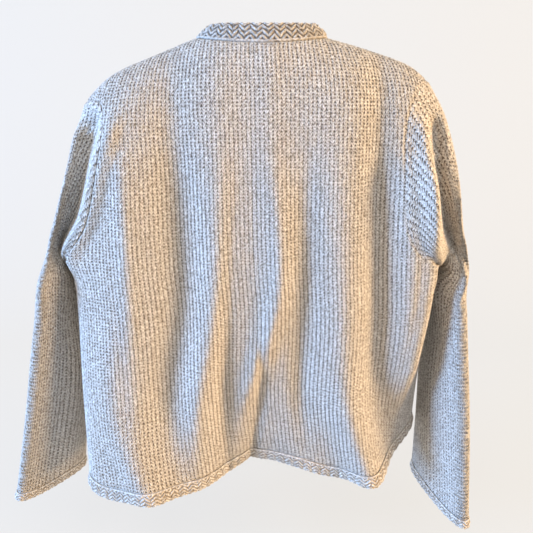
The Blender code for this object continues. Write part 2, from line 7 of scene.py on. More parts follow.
import bpy
import numpy as np
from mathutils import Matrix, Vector


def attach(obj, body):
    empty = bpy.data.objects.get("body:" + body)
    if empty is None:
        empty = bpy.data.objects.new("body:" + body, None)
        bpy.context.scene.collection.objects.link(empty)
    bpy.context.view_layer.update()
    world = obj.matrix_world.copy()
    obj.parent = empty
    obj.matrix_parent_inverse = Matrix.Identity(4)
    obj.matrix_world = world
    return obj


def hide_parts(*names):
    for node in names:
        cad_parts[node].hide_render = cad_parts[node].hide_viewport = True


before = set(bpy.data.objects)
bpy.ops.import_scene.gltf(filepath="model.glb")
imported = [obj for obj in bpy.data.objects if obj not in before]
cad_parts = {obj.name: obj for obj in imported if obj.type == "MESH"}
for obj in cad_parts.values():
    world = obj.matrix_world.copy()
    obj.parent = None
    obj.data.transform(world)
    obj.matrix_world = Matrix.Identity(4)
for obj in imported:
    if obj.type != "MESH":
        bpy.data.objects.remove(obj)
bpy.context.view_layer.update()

# Cloth
WALL = 0.0022
SEAM_GAP = 0.0003
OFFSET_ROUNDS = 4

# Steps that the solids' own rows and columns are drawn with
DETAIL = 5
BODY_ROWS_BELOW = 11 * DETAIL
ARMHOLE_ROWS = 11 * DETAIL
COLUMNS_SHOULDER_LEFT = 10 * DETAIL
COLUMNS_NECK = 11 * DETAIL
COLUMNS_SHOULDER_RIGHT = 9 * DETAIL
COLUMNS_NECK_LEFT_FRONT = 5 * DETAIL
COLUMNS_NECK_RIGHT_FRONT = 6 * DETAIL
SLEEVE_ROWS = 16
ROW_SAMPLES = 241
ROW_ROUNDS = 4
SEAM_ROUNDS = 6

# Body
UNDERARM_Z = -0.280
NECK_HALF = 0.078
BACK_NECK_DROP = 0.007
FRONT_NECK_DROP = 0.074
NECK_ROUNDNESS = 2.3
NECK_CROWDING = 1.16
SHOULDER_ROLL = 0.082
BACK_FULLNESS = 2.6
FRONT_FULLNESS = 2.1
NECK_CROWN = 0.016
FOLD_FADE = 0.45

# Trims
HEM_TRIM = 0.0185
NECK_TRIM = 0.0205
FRONT_TRIM = 0.0205
CUFF_TRIM = 0.0125
TRIM_THICK = 0.0085
CUFF_THICK = 0.0070
TRIM_STRANDS = 4
CUFF_STRANDS = 3
OPENING_HALF = 0.0006
NECK_STAND = 0.8


class Table:
    """Named columns read from short rows, with a smooth curve through any column."""

    def __init__(self, columns, *rows):
        self.columns = dict(zip(columns.split(), np.array(sorted(rows), float).T))
        self.knots = self.columns[columns.split()[0]]

    def at(self, name, place):
        values = self.columns[name]
        slopes = np.gradient(values, self.knots)
        place = np.clip(place, self.knots[0], self.knots[-1])
        low = np.clip(np.searchsorted(self.knots, place) - 1, 0, len(self.knots) - 2)
        span = self.knots[low + 1] - self.knots[low]
        part = (place - self.knots[low]) / span
        rest = 1 - part
        return (
            (1 + 2 * part) * rest**2 * values[low]
            + part * rest**2 * span * slopes[low]
            + part**2 * (3 - 2 * part) * values[low + 1]
            - part**2 * rest * span * slopes[low + 1]
        )


# Horizontal sections of the body: the side seams hang at left_y and right_y
LEVELS = Table(
    "z centre half_width left_y right_y back_depth front_depth",
    (-0.615, -0.011, 0.2525, -0.012, 0.064, 0.072, 0.050),
    (-0.480, -0.012, 0.2510, -0.002, 0.044, 0.064, 0.060),
    (-0.340, -0.009, 0.2510, 0.008, 0.022, 0.062, 0.066),
    (-0.280, -0.012, 0.2480, 0.010, 0.016, 0.062, 0.066),
    (-0.170, -0.010, 0.2360, 0.004, 0.008, 0.060, 0.064),
    (-0.050, -0.008, 0.2300, 0.000, 0.002, 0.058, 0.058),
    (0.020, -0.004, 0.2280, 0.000, 0.000, 0.056, 0.054),
)

# The shoulder line from tip to tip, which the cloth rolls over
SHOULDER = Table(
    "x z",
    (-0.22, -0.074), (-0.2033, -0.0575), (-0.1872, -0.0445), (-0.1676, -0.0343),
    (-0.1373, -0.0225), (-0.1117, -0.0126), (-0.078, 0.0), (0.078, 0.0), (0.0989, -0.0053),
    (0.1211, -0.0111), (0.141, -0.0171), (0.162, -0.0238), (0.1836, -0.033), (0.204, -0.048),
)
TIP_LEFT = -0.2200
TIP_RIGHT = 0.2040

# Armhole edges, from the underarm up to the shoulder tip
ARMHOLE_LEFT = Table(
    "z x",
    (-0.28, -0.26), (-0.262, -0.248), (-0.236, -0.231), (-0.205, -0.217), (-0.166, -0.203),
    (-0.125, -0.19), (-0.098, -0.193), (-0.074, -0.22),
)
ARMHOLE_RIGHT = Table(
    "z x",
    (-0.28, 0.236), (-0.272, 0.218), (-0.262, 0.204), (-0.248, 0.193), (-0.225, 0.1835),
    (-0.19, 0.178), (-0.15, 0.175), (-0.111, 0.175), (-0.08, 0.183), (-0.048, 0.204),
)

# Lower edge of the panels, above the hem trim
BACK_HEM = Table(
    "x z",
    (-0.264, -0.612), (-0.228, -0.617), (-0.175, -0.61), (-0.12, -0.611), (-0.085, -0.609),
    (-0.058, -0.604), (-0.034, -0.592), (-0.01, -0.587), (0.056, -0.59), (0.1, -0.602),
    (0.152, -0.605), (0.18, -0.602), (0.2, -0.583), (0.242, -0.553),
)
FRONT_HEM = Table(
    "x z",
    (-0.264, -0.612), (-0.15, -0.596), (0.0, -0.586), (0.13, -0.578), (0.2, -0.566),
    (0.242, -0.553),
)

# Folds: where each lies at four heights, its half width, and how far it stands out there
FOLD_HEIGHTS = {"yoke": -0.105, "chest": -0.320, "waist": -0.500, "hem": -0.610}
FOLD_COLUMNS = "yoke chest waist hem width out_yoke out_chest out_waist out_hem"
BACK_FOLDS = {
    "left lobe": (-0.172, -0.188, -0.205, -0.168, 0.032, 0.008, 0.011, 0.012, 0.018),
    "left valley": (-0.105, -0.107, -0.133, -0.128, 0.022, -0.007, -0.010, -0.008, -0.002),
    "left ridge": (-0.050, -0.060, -0.088, -0.088, 0.020, 0.002, 0.004, 0.006, 0.003),
    "left groove": (-0.030, -0.045, -0.057, -0.056, 0.010, 0.000, -0.002, -0.005, -0.003),
    "middle ridge": (0.010, 0.021, -0.027, -0.040, 0.016, 0.002, 0.006, 0.005, 0.002),
    "middle crease": (0.000, 0.000, -0.005, -0.020, 0.007, 0.000, 0.000, -0.006, -0.009),
    "middle valley": (-0.020, -0.020, -0.020, -0.018, 0.070, 0.000, -0.002, -0.014, -0.046),
    "right groove": (0.055, 0.056, 0.058, 0.070, 0.014, 0.000, -0.005, -0.004, 0.000),
    "right lobe": (0.095, 0.109, 0.127, 0.163, 0.033, 0.003, 0.008, 0.016, 0.038),
    "right valley": (0.140, 0.155, 0.168, 0.190, 0.016, -0.008, -0.009, -0.004, 0.000),
    "right edge": (0.190, 0.196, 0.202, 0.212, 0.018, 0.004, 0.007, 0.004, 0.000),
}
FRONT_FOLDS = {
    "left lobe": (-0.165, -0.170, -0.176, -0.170, 0.030, 0.002, 0.006, 0.009, 0.013),
    "left valley": (-0.110, -0.118, -0.118, -0.110, 0.022, -0.003, -0.007, -0.008, -0.008),
    "left edge": (-0.060, -0.062, -0.060, -0.058, 0.024, 0.000, 0.003, 0.006, 0.008),
    "right edge": (0.050, 0.052, 0.050, 0.050, 0.024, 0.000, 0.004, 0.006, 0.010),
    "right valley": (0.095, 0.100, 0.104, 0.108, 0.020, -0.003, -0.006, -0.009, -0.010),
    "right lobe": (0.140, 0.148, 0.155, 0.160, 0.028, 0.002, 0.005, 0.008, 0.012),
}

# Sleeve sections, from the armhole to the cuff: the edge away from the body (o), the edge
# next to it (i), and half the thickness between its two faces
SLEEVE_COLUMNS = "along ox oy oz ix iy iz half_thick"
SLEEVE_RIGHT = Table(
    SLEEVE_COLUMNS,
    (0.00, 0.2040, 0.000, -0.0480, 0.2360, 0.016, -0.2800, 0.048),
    (0.06, 0.2270, -0.004, -0.0860, 0.2490, 0.022, -0.2840, 0.044),
    (0.12, 0.2410, -0.008, -0.1250, 0.2540, 0.034, -0.2940, 0.036),
    (0.20, 0.2540, -0.014, -0.1770, 0.2550, 0.051, -0.3160, 0.025),
    (0.28, 0.2620, -0.020, -0.2276, 0.2540, 0.065, -0.3420, 0.019),
    (0.36, 0.2680, -0.026, -0.2780, 0.2560, 0.075, -0.3680, 0.018),
    (0.52, 0.2750, -0.038, -0.3790, 0.2600, 0.085, -0.4300, 0.017),
    (0.72, 0.2900, -0.046, -0.5080, 0.2640, 0.086, -0.5340, 0.017),
    (1.00, 0.3060, -0.056, -0.6760, 0.2610, 0.072, -0.6620, 0.016),
)
SLEEVE_LEFT = Table(
    SLEEVE_COLUMNS,
    (0.00, -0.2200, 0.000, -0.0740, -0.2600, 0.010, -0.2800, 0.048),
    (0.06, -0.2340, -0.003, -0.1090, -0.2730, 0.016, -0.2840, 0.043),
    (0.12, -0.2440, -0.006, -0.1420, -0.2820, 0.026, -0.2940, 0.036),
    (0.20, -0.2600, -0.010, -0.1900, -0.2880, 0.043, -0.3160, 0.027),
    (0.28, -0.2770, -0.014, -0.2400, -0.2890, 0.059, -0.3440, 0.020),
    (0.36, -0.2930, -0.018, -0.2900, -0.2890, 0.072, -0.3740, 0.018),
    (0.52, -0.3150, -0.022, -0.3850, -0.2900, 0.084, -0.4350, 0.018),
    (0.72, -0.3400, -0.024, -0.5000, -0.2960, 0.084, -0.5280, 0.018),
    (1.00, -0.3780, -0.024, -0.6530, -0.3080, 0.074, -0.6560, 0.017),
)
# How far along the sleeve the armhole's own outline lasts, and where the sections have
# turned from facing sideways to facing down; rows lie closer together near the armhole
SLEEVE_BLEND = 0.20
SLEEVE_TURN = 0.80
SLEEVE_CROWDING = 1.35
SLEEVE_FULLNESS = 2.5
EASE_ROUNDS = 6
EASE_ROWS = 10
EASE_SHARE = 0.5
EASE_REACH = 0.6

# Sleeve folds: where each lies round the section (0 outer edge, 0.5 next to the body, then
# back along the far face) and along the sleeve, their half widths, and how far it stands out
BULGE_COLUMNS = "around along wide long out"
BULGES_RIGHT = {
    "pouch": (0.340, 0.110, 0.075, 0.060, 0.018),
    "outer roll": (0.06, 0.250, 0.060, 0.200, 0.003),
    "elbow crease": (0.25, 0.500, 0.050, 0.070, -0.005),
    "lower ridge": (0.20, 0.740, 0.060, 0.140, 0.004),
}
BULGES_LEFT = {
    "crest": (0.300, 0.050, 0.100, 0.040, 0.012),
    "elbow crease": (0.27, 0.460, 0.050, 0.070, -0.005),
    "lower ridge": (0.30, 0.700, 0.060, 0.150, 0.004),
}


def smooth_step(part):
    """0 below 0, 1 above 1, and a smooth rise between them."""
    part = np.clip(part, 0, 1)
    return part * part * (3 - 2 * part)


def unit(vectors):
    return vectors / np.maximum(np.linalg.norm(vectors, axis=-1, keepdims=True), 1e-12)


def squared(value, fullness):
    """A sine or cosine of a turn round a section that is fuller than an ellipse."""
    return np.sign(value) * np.abs(value) ** (2 / fullness)


def fold_relief(folds, x, z):
    """How far the folds push the cloth out, at each point of a panel."""
    relief = np.zeros_like(x)
    for row in folds.values():
        fold = dict(zip(FOLD_COLUMNS.split(), row))
        places = [
            (height, fold[name], fold["out_" + name]) for name, height in FOLD_HEIGHTS.items()
        ]
        track = Table("z x out", *places)
        relief += track.at("out", z) * np.exp(-(((x - track.at("x", z)) / fold["width"]) ** 2))
    return relief


def shoulder_z(x):
    """The shoulder line, which goes on as a low crown over the neck."""
    crown = NECK_CROWN * (1 - (x / NECK_HALF) ** 2)
    return np.where(np.abs(x) < NECK_HALF, crown, SHOULDER.at("z", x))


def top_z(x, side):
    """Upper edge of a panel: its shoulders and, between them, its half of the neckline."""
    part = np.clip(np.abs(x) / NECK_HALF, 0, 1)
    if side < 0:
        neck = -BACK_NECK_DROP * (1 - part**2)
    else:
        neck = -FRONT_NECK_DROP * (1 - part**NECK_ROUNDNESS) ** (1 / NECK_ROUNDNESS)
    return np.where(np.abs(x) < NECK_HALF, neck, SHOULDER.at("z", x))


def level_height(side, fall, rise):
    """The heights of a line across a panel, part of the way from the underarm to hem or top."""
    hem = BACK_HEM if side < 0 else FRONT_HEM

    def height(x):
        down, up = hem.at("z", x) - UNDERARM_Z, top_z(x, side) - UNDERARM_Z
        return UNDERARM_Z + fall * down + rise * up

    return height


def body_row(side, height, left_x, right_x):
    """One row across a panel, finely sampled: side -1 is the back and +1 the front, and
    height gives the row's z at each x."""
    fullness = BACK_FULLNESS if side < 0 else FRONT_FULLNESS
    depth_name = "back_depth" if side < 0 else "front_depth"
    z = height(np.linspace(left_x, right_x, ROW_SAMPLES))
    for _ in range(ROW_ROUNDS):
        centre = LEVELS.at("centre", z)
        half = LEVELS.at("half_width", z)
        ends = np.clip([(left_x - centre[0]) / half[0], (right_x - centre[-1]) / half[-1]], -1, 1)
        turn = np.sign(ends) * np.arcsin(np.abs(ends) ** (fullness / 2))
        angle = np.linspace(turn[0], turn[1], ROW_SAMPLES)
        x = centre + half * squared(np.sin(angle), fullness)
        z = height(x)
    across = (x - centre + half) / (2 * half)
    left_y = LEVELS.at("left_y", z)
    y = left_y + (LEVELS.at("right_y", z) - left_y) * across
    y += side * LEVELS.at(depth_name, z) * np.abs(np.cos(angle)) ** (2 / fullness)
    folds = BACK_FOLDS if side < 0 else FRONT_FOLDS
    y += side * fold_relief(folds, x, z) * smooth_step(np.cos(angle) / FOLD_FADE)
    under = np.clip((shoulder_z(x) - z) / SHOULDER_ROLL, 0, 1)
    y *= np.sqrt(1 - (1 - under) ** 2)
    return np.stack([x, y, z], axis=1)


def run_length(points):
    """Length run along a line at each of its points."""
    steps = np.linalg.norm(np.diff(points, axis=0), axis=1)
    return np.concatenate([[0], np.cumsum(steps)])


def read_line(line, length, places):
    """Points or directions of a line at the given places, where length counts along it."""
    return np.stack([np.interp(places, length, line[:, axis]) for axis in range(3)], axis=1)


def along(points, fractions):
    """Points at the given fractions of a line's length."""
    length = run_length(points)
    return read_line(points, length, np.asarray(fractions) * length[-1])


def column_length(rows):
    """Length run along each column of a grid, from its first row."""
    steps = np.linalg.norm(np.diff(rows, axis=0), axis=2)
    return np.concatenate([np.zeros((1, rows.shape[1])), np.cumsum(steps, axis=0)])


def spread(places, counts):
    """Places with the given number of equal steps between neighbours."""
    steps = [np.linspace(a, b, n, endpoint=False) for a, b, n in zip(places, places[1:], counts)]
    return np.concatenate(steps + [places[-1:]])


def armhole_rise(step):
    """Share of the way up the armhole at a row, closer together near both its ends."""
    return (1 - np.cos(np.pi * step / ARMHOLE_ROWS)) / 2


def side_seam(hand, step):
    """A point of a side seam: hand -1 is the left seam and +1 the right."""
    z = UNDERARM_Z
    for _ in range(SEAM_ROUNDS):
        x = LEVELS.at("centre", z) + hand * LEVELS.at("half_width", z)
        z = UNDERARM_Z + step / BODY_ROWS_BELOW * (BACK_HEM.at("z", x) - UNDERARM_Z)
    return x, LEVELS.at("left_y" if hand < 0 else "right_y", z), z


def panel_rows(side, left_edge, right_edge, top_x, seams):
    """The rows of a panel, from its upper edge down to its hem.

    left_edge and right_edge give x at a height, top_x holds the places of the columns on
    the upper edge, and seams names the sides that are side seams, by column and hand.
    """
    even = np.linspace(0, 1, len(top_x))
    crest = body_row(side, lambda x: top_z(x, side), top_x[0], top_x[-1])
    length = run_length(crest)
    top_fractions = np.interp(top_x, crest[:, 0], length / length[-1])
    tips = top_z(top_x[[0, -1]], side)
    rows = []
    for step in range(ARMHOLE_ROWS, 0, -1):
        rise = armhole_rise(step)
        ends = UNDERARM_Z + rise * (tips - UNDERARM_Z)
        row = body_row(side, level_height(side, 0, rise), left_edge(ends[0]), right_edge(ends[1]))
        rows.append(along(row, even + (top_fractions - even) * rise**2))
    for step in range(BODY_ROWS_BELOW + 1):
        ends = left_edge(side_seam(-1, step)[2]), right_edge(side_seam(1, step)[2])
        row = body_row(side, level_height(side, step / BODY_ROWS_BELOW, 0), *ends)
        rows.append(along(row, even))
    rows = np.array(rows)
    on_shoulder = np.abs(top_x) >= NECK_HALF
    rows[0, on_shoulder] = [(x, 0, SHOULDER.at("z", x)) for x in top_x[on_shoulder]]
    for column, hand in seams:
        below = range(BODY_ROWS_BELOW + 1)
        rows[ARMHOLE_ROWS:, column] = [side_seam(hand, step) for step in below]
    return rows


def outer_edge(hand, armhole):
    """A panel's outer edge, as x at a height: side seam, then armhole."""

    def edge(z):
        seam = LEVELS.at("centre", z) + hand * LEVELS.at("half_width", z)
        return np.where(np.asarray(z) > UNDERARM_Z, armhole.at("x", z), seam).item()

    return edge


left_side = outer_edge(-1, ARMHOLE_LEFT)
right_side = outer_edge(1, ARMHOLE_RIGHT)


def opening_x(z):
    """Middle of the front opening."""
    return LEVELS.at("centre", z).item()


def neckline_places(hand, count):
    """Where the columns meet a front's half of the neckline, evenly along its curve."""
    end_x = opening_x(-FRONT_NECK_DROP) + hand * FRONT_TRIM
    x = np.linspace(hand * NECK_HALF, end_x, ROW_SAMPLES)
    curve = np.stack([x, 0 * x, top_z(x, 1)], axis=1)
    return along(curve, np.linspace(0, 1, count + 1) ** NECK_CROWDING)[:, 0]


def back_rows():
    top_x = spread(
        [TIP_LEFT, -NECK_HALF, NECK_HALF, TIP_RIGHT],
        [COLUMNS_SHOULDER_LEFT, COLUMNS_NECK, COLUMNS_SHOULDER_RIGHT],
    )
    return panel_rows(-1, left_side, right_side, top_x, [(0, -1), (-1, 1)])


def front_left_rows():
    shoulder = spread([TIP_LEFT, -NECK_HALF], [COLUMNS_SHOULDER_LEFT])
    top_x = np.concatenate([shoulder, neckline_places(-1, COLUMNS_NECK_LEFT_FRONT)[1:]])
    return panel_rows(1, left_side, lambda z: opening_x(z) - FRONT_TRIM, top_x, [(0, -1)])


def front_right_rows():
    shoulder = spread([NECK_HALF, TIP_RIGHT], [COLUMNS_SHOULDER_RIGHT])
    top_x = np.concatenate([neckline_places(1, COLUMNS_NECK_RIGHT_FRONT)[:0:-1], shoulder])
    return panel_rows(1, lambda z: opening_x(z) + FRONT_TRIM, right_side, top_x, [(-1, 1)])


def sleeve_rows(sections, bulges, back, front):
    """The rings of a sleeve, from its armhole to its cuff.

    back and front are the panels' armhole edges from underarm to shoulder tip. Each ring
    starts at its outer edge, comes down the back of the sleeve and goes up its front.
    """
    armhole = np.concatenate([back[::-1], front[1:-1]])
    count = len(armhole)
    turn = 2 * np.pi * np.arange(count) / count
    t = np.linspace(0, 1, SLEEVE_ROWS + 1) ** SLEEVE_CROWDING
    outer, inner = (
        np.stack([sections.at(edge + axis, t) for axis in "xyz"], axis=1) for edge in "oi"
    )
    centre = (outer + inner) / 2
    half = (outer - inner) / 2
    hand = np.sign(outer[0, 0])
    tilt = np.pi / 2 * smooth_step(t / SLEEVE_TURN)
    heading = np.stack([hand * np.cos(tilt), 0 * tilt, -np.sin(tilt)], axis=1)
    across = hand * unit(np.cross(heading, half))
    thick = sections.at("half_thick", t)[:, None]
    wide = squared(np.cos(turn), SLEEVE_FULLNESS)
    deep = squared(np.sin(turn), SLEEVE_FULLNESS)
    rings = (
        centre[:, None]
        + half[:, None] * wide[None, :, None]
        + (across * thick)[:, None] * deep[None, :, None]
    )
    length = np.linalg.norm(half, axis=1)[:, None]
    out = unit(
        unit(half)[:, None] * (np.cos(turn)[None, :] / length)[..., None]
        + across[:, None] * (np.sin(turn)[None, :] / thick)[..., None]
    )
    for row in bulges.values():
        bulge = dict(zip(BULGE_COLUMNS.split(), row))
        round_by = (turn / (2 * np.pi) - bulge["around"] + 0.5) % 1 - 0.5
        near = np.exp(-((round_by / bulge["wide"]) ** 2))[None, :]
        near = near * np.exp(-(((t - bulge["along"]) / bulge["long"]) ** 2))[:, None]
        rings = rings + out * (near * bulge["out"])[..., None]
    kept = 1 - smooth_step(t / SLEEVE_BLEND)
    return eased(rings + (armhole - rings[0])[None] * kept[:, None, None])


def eased(rings):
    """Evens out the rings nearest the armhole, all but the sleeve's outer edge."""
    count = rings.shape[1]
    turn = 2 * np.pi * np.arange(count) / count
    share = EASE_SHARE * smooth_step((1 - np.cos(turn)) / EASE_REACH)[None, :, None]
    share = share * (1 - smooth_step(np.arange(1, len(rings) - 1) / EASE_ROWS))[:, None, None]
    for _ in range(EASE_ROUNDS):
        around = (np.roll(rings, 1, axis=1) + np.roll(rings, -1, axis=1))[1:-1] / 2
        lengthwise = (rings[:-2] + rings[2:]) / 2
        rings[1:-1] += share * ((around + lengthwise) / 2 - rings[1:-1])
    return rings


def grid_normals(rows, closed, flip):
    """Outward unit normals at the points of a grid of rows."""
    if closed:
        ahead = np.roll(rows, -1, axis=1) - np.roll(rows, 1, axis=1)
    else:
        ahead = np.gradient(rows, axis=1)
    down = np.gradient(rows, axis=0)
    normals = np.cross(down, ahead)
    return unit(normals) * (-1 if flip else 1)


def shared_normals(grids):
    """Gives neighbours one normal wherever their grids meet, so that walls meet squarely."""
    sums = {}
    for points, normals in grids.values():
        for point, normal in zip(points.reshape(-1, 3), normals.reshape(-1, 3)):
            key = tuple(np.round(point, 5))
            sums[key] = sums.get(key, 0) + normal
    for points, normals in grids.values():
        flat = normals.reshape(-1, 3)
        for index, point in enumerate(points.reshape(-1, 3)):
            flat[index] = sums[tuple(np.round(point, 5))]
        flat[:] = unit(flat)


def wall_offsets(normals):
    """Steps from a sleeve's outer face to its inner one, evened out so that they keep apart."""
    steps = normals * WALL
    for _ in range(OFFSET_ROUNDS):
        mean = steps.copy()
        mean[1:-1] += (steps[:-2] + steps[2:]) / 2
        mean[1:-1] += (np.roll(steps, 1, axis=1) + np.roll(steps, -1, axis=1))[1:-1] / 2
        mean[1:-1] /= 3
        steps = mean
    return steps


def edge_frame(grid, edge, inside, columns=slice(None)):
    """An edge row of a panel: its points, the directions out of the cloth, and its normals."""
    rows, normals = grid
    points = rows[edge][columns]
    return points, unit(points - rows[inside][columns]), normals[edge][columns]


def joined(*frames):
    """One path from several edge frames, each starting where the last one ended."""
    return [
        np.concatenate([fields[0]] + [field[1:] for field in fields[1:]]) for fields in zip(*frames)
    ]


def reach_opening(path, out, up):
    """Adds the two ends of a path that runs on, straight, to the front opening."""
    ends = []
    for end, inside, hand in ((0, 1, -1), (-1, -2, 1)):
        slope = (path[end] - path[inside]) / (path[end][0] - path[inside][0])
        reach = opening_x(path[end][2]) + hand * OPENING_HALF - path[end][0]
        ends.append(path[end] + slope * reach)
    level = np.array([0, 1, 1])
    added = ends, unit(out[[0, -1]] * level), unit(up[[0, -1]] * level)
    return [
        np.concatenate([two[:1], field, two[1:]]) for two, field in zip(added, (path, out, up))
    ]


def hem_frame(grids):
    """The hem trim's path: along the left front, across the back and along the right front."""
    fronts = grids["front_left"], grids["front_right"]
    left, right = (edge_frame(grid, -1, -2, slice(None, None, -1)) for grid in fronts)
    return reach_opening(*joined(left, edge_frame(grids["back"], -1, -2), right))


def neck_frame(grids):
    """The neck trim's path, whose direction stands up at the back."""
    left = slice(None, COLUMNS_SHOULDER_LEFT - 1, -1)
    middle = slice(COLUMNS_SHOULDER_LEFT, COLUMNS_SHOULDER_LEFT + COLUMNS_NECK + 1)
    right = slice(COLUMNS_NECK_RIGHT_FRONT, None, -1)
    path, out, up = reach_opening(*joined(
        edge_frame(grids["front_left"], 0, 1, left),
        edge_frame(grids["back"], 0, 1, middle),
        edge_frame(grids["front_right"], 0, 1, right),
    ))
    tangent = unit(np.gradient(path, axis=0))
    flat = unit(np.cross(up, tangent))
    flat *= np.sign(np.sum(flat * out))
    stand = NECK_STAND * (1 - np.clip(np.abs(path[:, :1]) / NECK_HALF, 0, 1) ** 2)
    risen = flat + stand * np.array([0, 0, 1])
    risen[[0, -1], 0] = 0
    return path, unit(risen), up


def front_frame(grid, edge, inside):
    """A front trim's path, a little short of the trims at its ends."""
    rows, normals = (field.transpose(1, 0, 2) for field in grid)
    path, out, up = edge_frame((rows, normals), edge, inside)
    path = path.copy()
    path[0] += unit(path[1] - path[0]) * SEAM_GAP
    path[-1] += unit(path[-2] - path[-1]) * SEAM_GAP
    return path, out, up


# Stitches: a wale is a column of them and a course a row, and each is a V of two legs. Over the
# points of a wale the legs lean, crests and grooves give their relief, and cloth that hangs
# has longer courses
WALE = 0.0058
COURSE = 0.00415
HUNG_COURSE = 0.0046
HANG = 0.10
LEG_COLUMNS = 4
LEG_LEAN = (1.0, 0.0, -1.0, 0.0)
LEG_CREST = (0.30, 1.00, 0.50, 1.00)
LEG_GROOVE = (-0.80, -0.05, -0.30, -0.05)
STITCH_RELIEF = 0.00085
SEAM_DEPTH = 0.0011
SEAM_REACH = 0.0045
LINING_STEP = 8
LEVEL_COLUMNS = 240
LEVEL_ROWS = 60
LEVEL_SHARES = np.linspace(0, 1, LEVEL_COLUMNS + 1)
FAR_ASIDE = 0.4
AROUND_DETAIL = 6
ALONG_DETAIL = 6

# Braided trims: nested rows of strokes that zigzag along a rounded roll
BRAID_PERIOD = 0.0140
CUFF_PERIOD = 0.0115
BRAID_STEPS = 8
BRAID_RELIEF = 0.00110
TURN_RELIEF = 0.25
RISING_RELIEF = 1.0
FALLING_RELIEF = 0.82
ROLL_EDGE = 0.04
ROLL_SAMPLES = 181
ROLL_FULLNESS = 2.5
STRAND_STEPS = 4
BACK_STEPS = 7
FRAME_EASING = 30

# Rolled cord between a trim and its panel
CORD_RADIUS = 0.0014
CORD_SIDES = 8
CORD_LIFT = 0.5

# Creases pressed into the cloth beside the armholes. Each follows its own line down the
# back, within its own span of heights. The last four numbers are how far off the line its
# middle lies, how wide it is to the left and to the right, and how far it is pressed in
CREST_LEFT = Table(
    "z x",
    (-0.3, -0.276), (-0.275, -0.266), (-0.212, -0.233), (-0.13, -0.203), (-0.092, -0.1885),
    (-0.06, -0.18),
)
RIDGE_RIGHT = Table(
    "z x",
    (-0.345, 0.266), (-0.3, 0.26), (-0.274, 0.251), (-0.231, 0.2346), (-0.167, 0.213),
    (-0.094, 0.199), (-0.06, 0.19),
)
OUTER_LEFT = Table(
    "z x",
    (-0.45, -0.325), (-0.29, -0.288), (-0.24, -0.272), (-0.19, -0.256), (-0.142, -0.24),
    (-0.1, -0.228),
)
EDGE_RIGHT = Table(
    "z x",
    (-0.54, 0.205), (-0.4, 0.218), (-0.3, 0.224), (-0.2, 0.212), (-0.12, 0.198),
)
UPPER_SPAN = (-0.315, -0.255, -0.112, -0.078)
POUCH_SPAN = (-0.350, -0.300, -0.112, -0.078)
HOLLOW_SPAN = (-0.352, -0.310, -0.292, -0.276)
OUTER_SPAN = (-0.380, -0.300, -0.125, -0.090)
EDGE_SPAN = (-0.540, -0.420, -0.180, -0.120)
CREASES = (
    (CREST_LEFT, UPPER_SPAN, 0.014, 0.018, 0.020, -0.007),
    (CREST_LEFT, UPPER_SPAN, -0.013, 0.034, 0.017, 0.024),
    (OUTER_LEFT, OUTER_SPAN, 0.0, 0.030, 0.026, -0.014),
    (RIDGE_RIGHT, POUCH_SPAN, -0.006, 0.020, 0.012, -0.008),
    (RIDGE_RIGHT, POUCH_SPAN, 0.013, 0.013, 0.013, 0.018),
    (RIDGE_RIGHT, HOLLOW_SPAN, -0.020, 0.012, 0.012, 0.022),
    (EDGE_RIGHT, EDGE_SPAN, 0.0, 0.065, 0.022, -0.020),
    (EDGE_RIGHT, EDGE_SPAN, 0.0, 0.020, 0.018, -0.008),
)
# Most of a crease is lost towards the front: from which y, over how far and how much
CREASE_BACK = (0.005, 0.05, 0.75)

# The underarm pouches hang out sideways: their x and z, how far round and by how much; they
# sink by POUCH_DROP of that and lie on the back only, fading out below POUCH_BACK
POUCHES = (
    (-0.252, -0.266, 0.050, -0.010),
    (0.252, -0.280, 0.050, 0.010),
    (0.282, -0.306, 0.036, 0.007),
)
POUCH_DROP = 0.5
POUCH_BACK = 0.03

# How much deeper the back's folds are than the solid's, between which heights, and over what
# depth and width they fade out at the sides
FOLD_GAIN = 0.8
FOLD_SPAN = (-0.575, -0.470, -0.190, -0.100)
FOLD_DEPTH = 0.04
FOLD_WIDTH = (0.195, 0.03)

# Where each sleeve's inner side leans towards the body: the heights, how far out it starts and
# over how much it fades, the same from front to back, and how far each sleeve leans
TUCK_HEIGHT = (-0.400, -0.330, -0.275, -0.240)
TUCK_SIDE = (0.300, 0.035)
TUCK_BACK = (0.02, 0.04)
TUCK_LEFT = 0.016
TUCK_RIGHT = 0.012


def span_share(value, span):
    """0 outside a span, 1 within its inner two bounds."""
    first, second, third, fourth = span
    rise = smooth_step((value - first) / (second - first))
    return rise * smooth_step((fourth - value) / (fourth - third))


def creased(points):
    """Points of the body or a sleeve with the creases beside the armholes pressed in."""
    x, y, z = points[..., 0], points[..., 1], points[..., 2]
    shift = np.zeros(x.shape)
    for line, span, aside, left, right, deep in CREASES:
        off = x - line.at("x", z) - aside
        share = np.abs(off) / np.where(off < 0, left, right)
        shift += deep * smooth_step(1 - share) * span_share(z, span)
    start, reach, lost = CREASE_BACK
    shift *= 1 - lost * smooth_step((y - start) / reach)
    folds = fold_relief(BACK_FOLDS, x, z) * span_share(z, FOLD_SPAN)
    side, fade = FOLD_WIDTH
    folds = FOLD_GAIN * folds * smooth_step(-y / FOLD_DEPTH)
    shift -= folds * smooth_step((side - np.abs(x)) / fade)
    return np.stack([x, y + shift, z], axis=-1)


def pouched(points):
    """Points of the body or a sleeve with the pouches below the armholes drawn out."""
    points = points.copy()
    for x, z, reach, out in POUCHES:
        off = np.hypot(points[..., 0] - x, points[..., 2] - z) / reach
        share = smooth_step(1 - off) * smooth_step((POUCH_BACK - points[..., 1]) / POUCH_BACK)
        points[..., 0] += out * share
        points[..., 2] -= abs(out) * POUCH_DROP * share
    return points


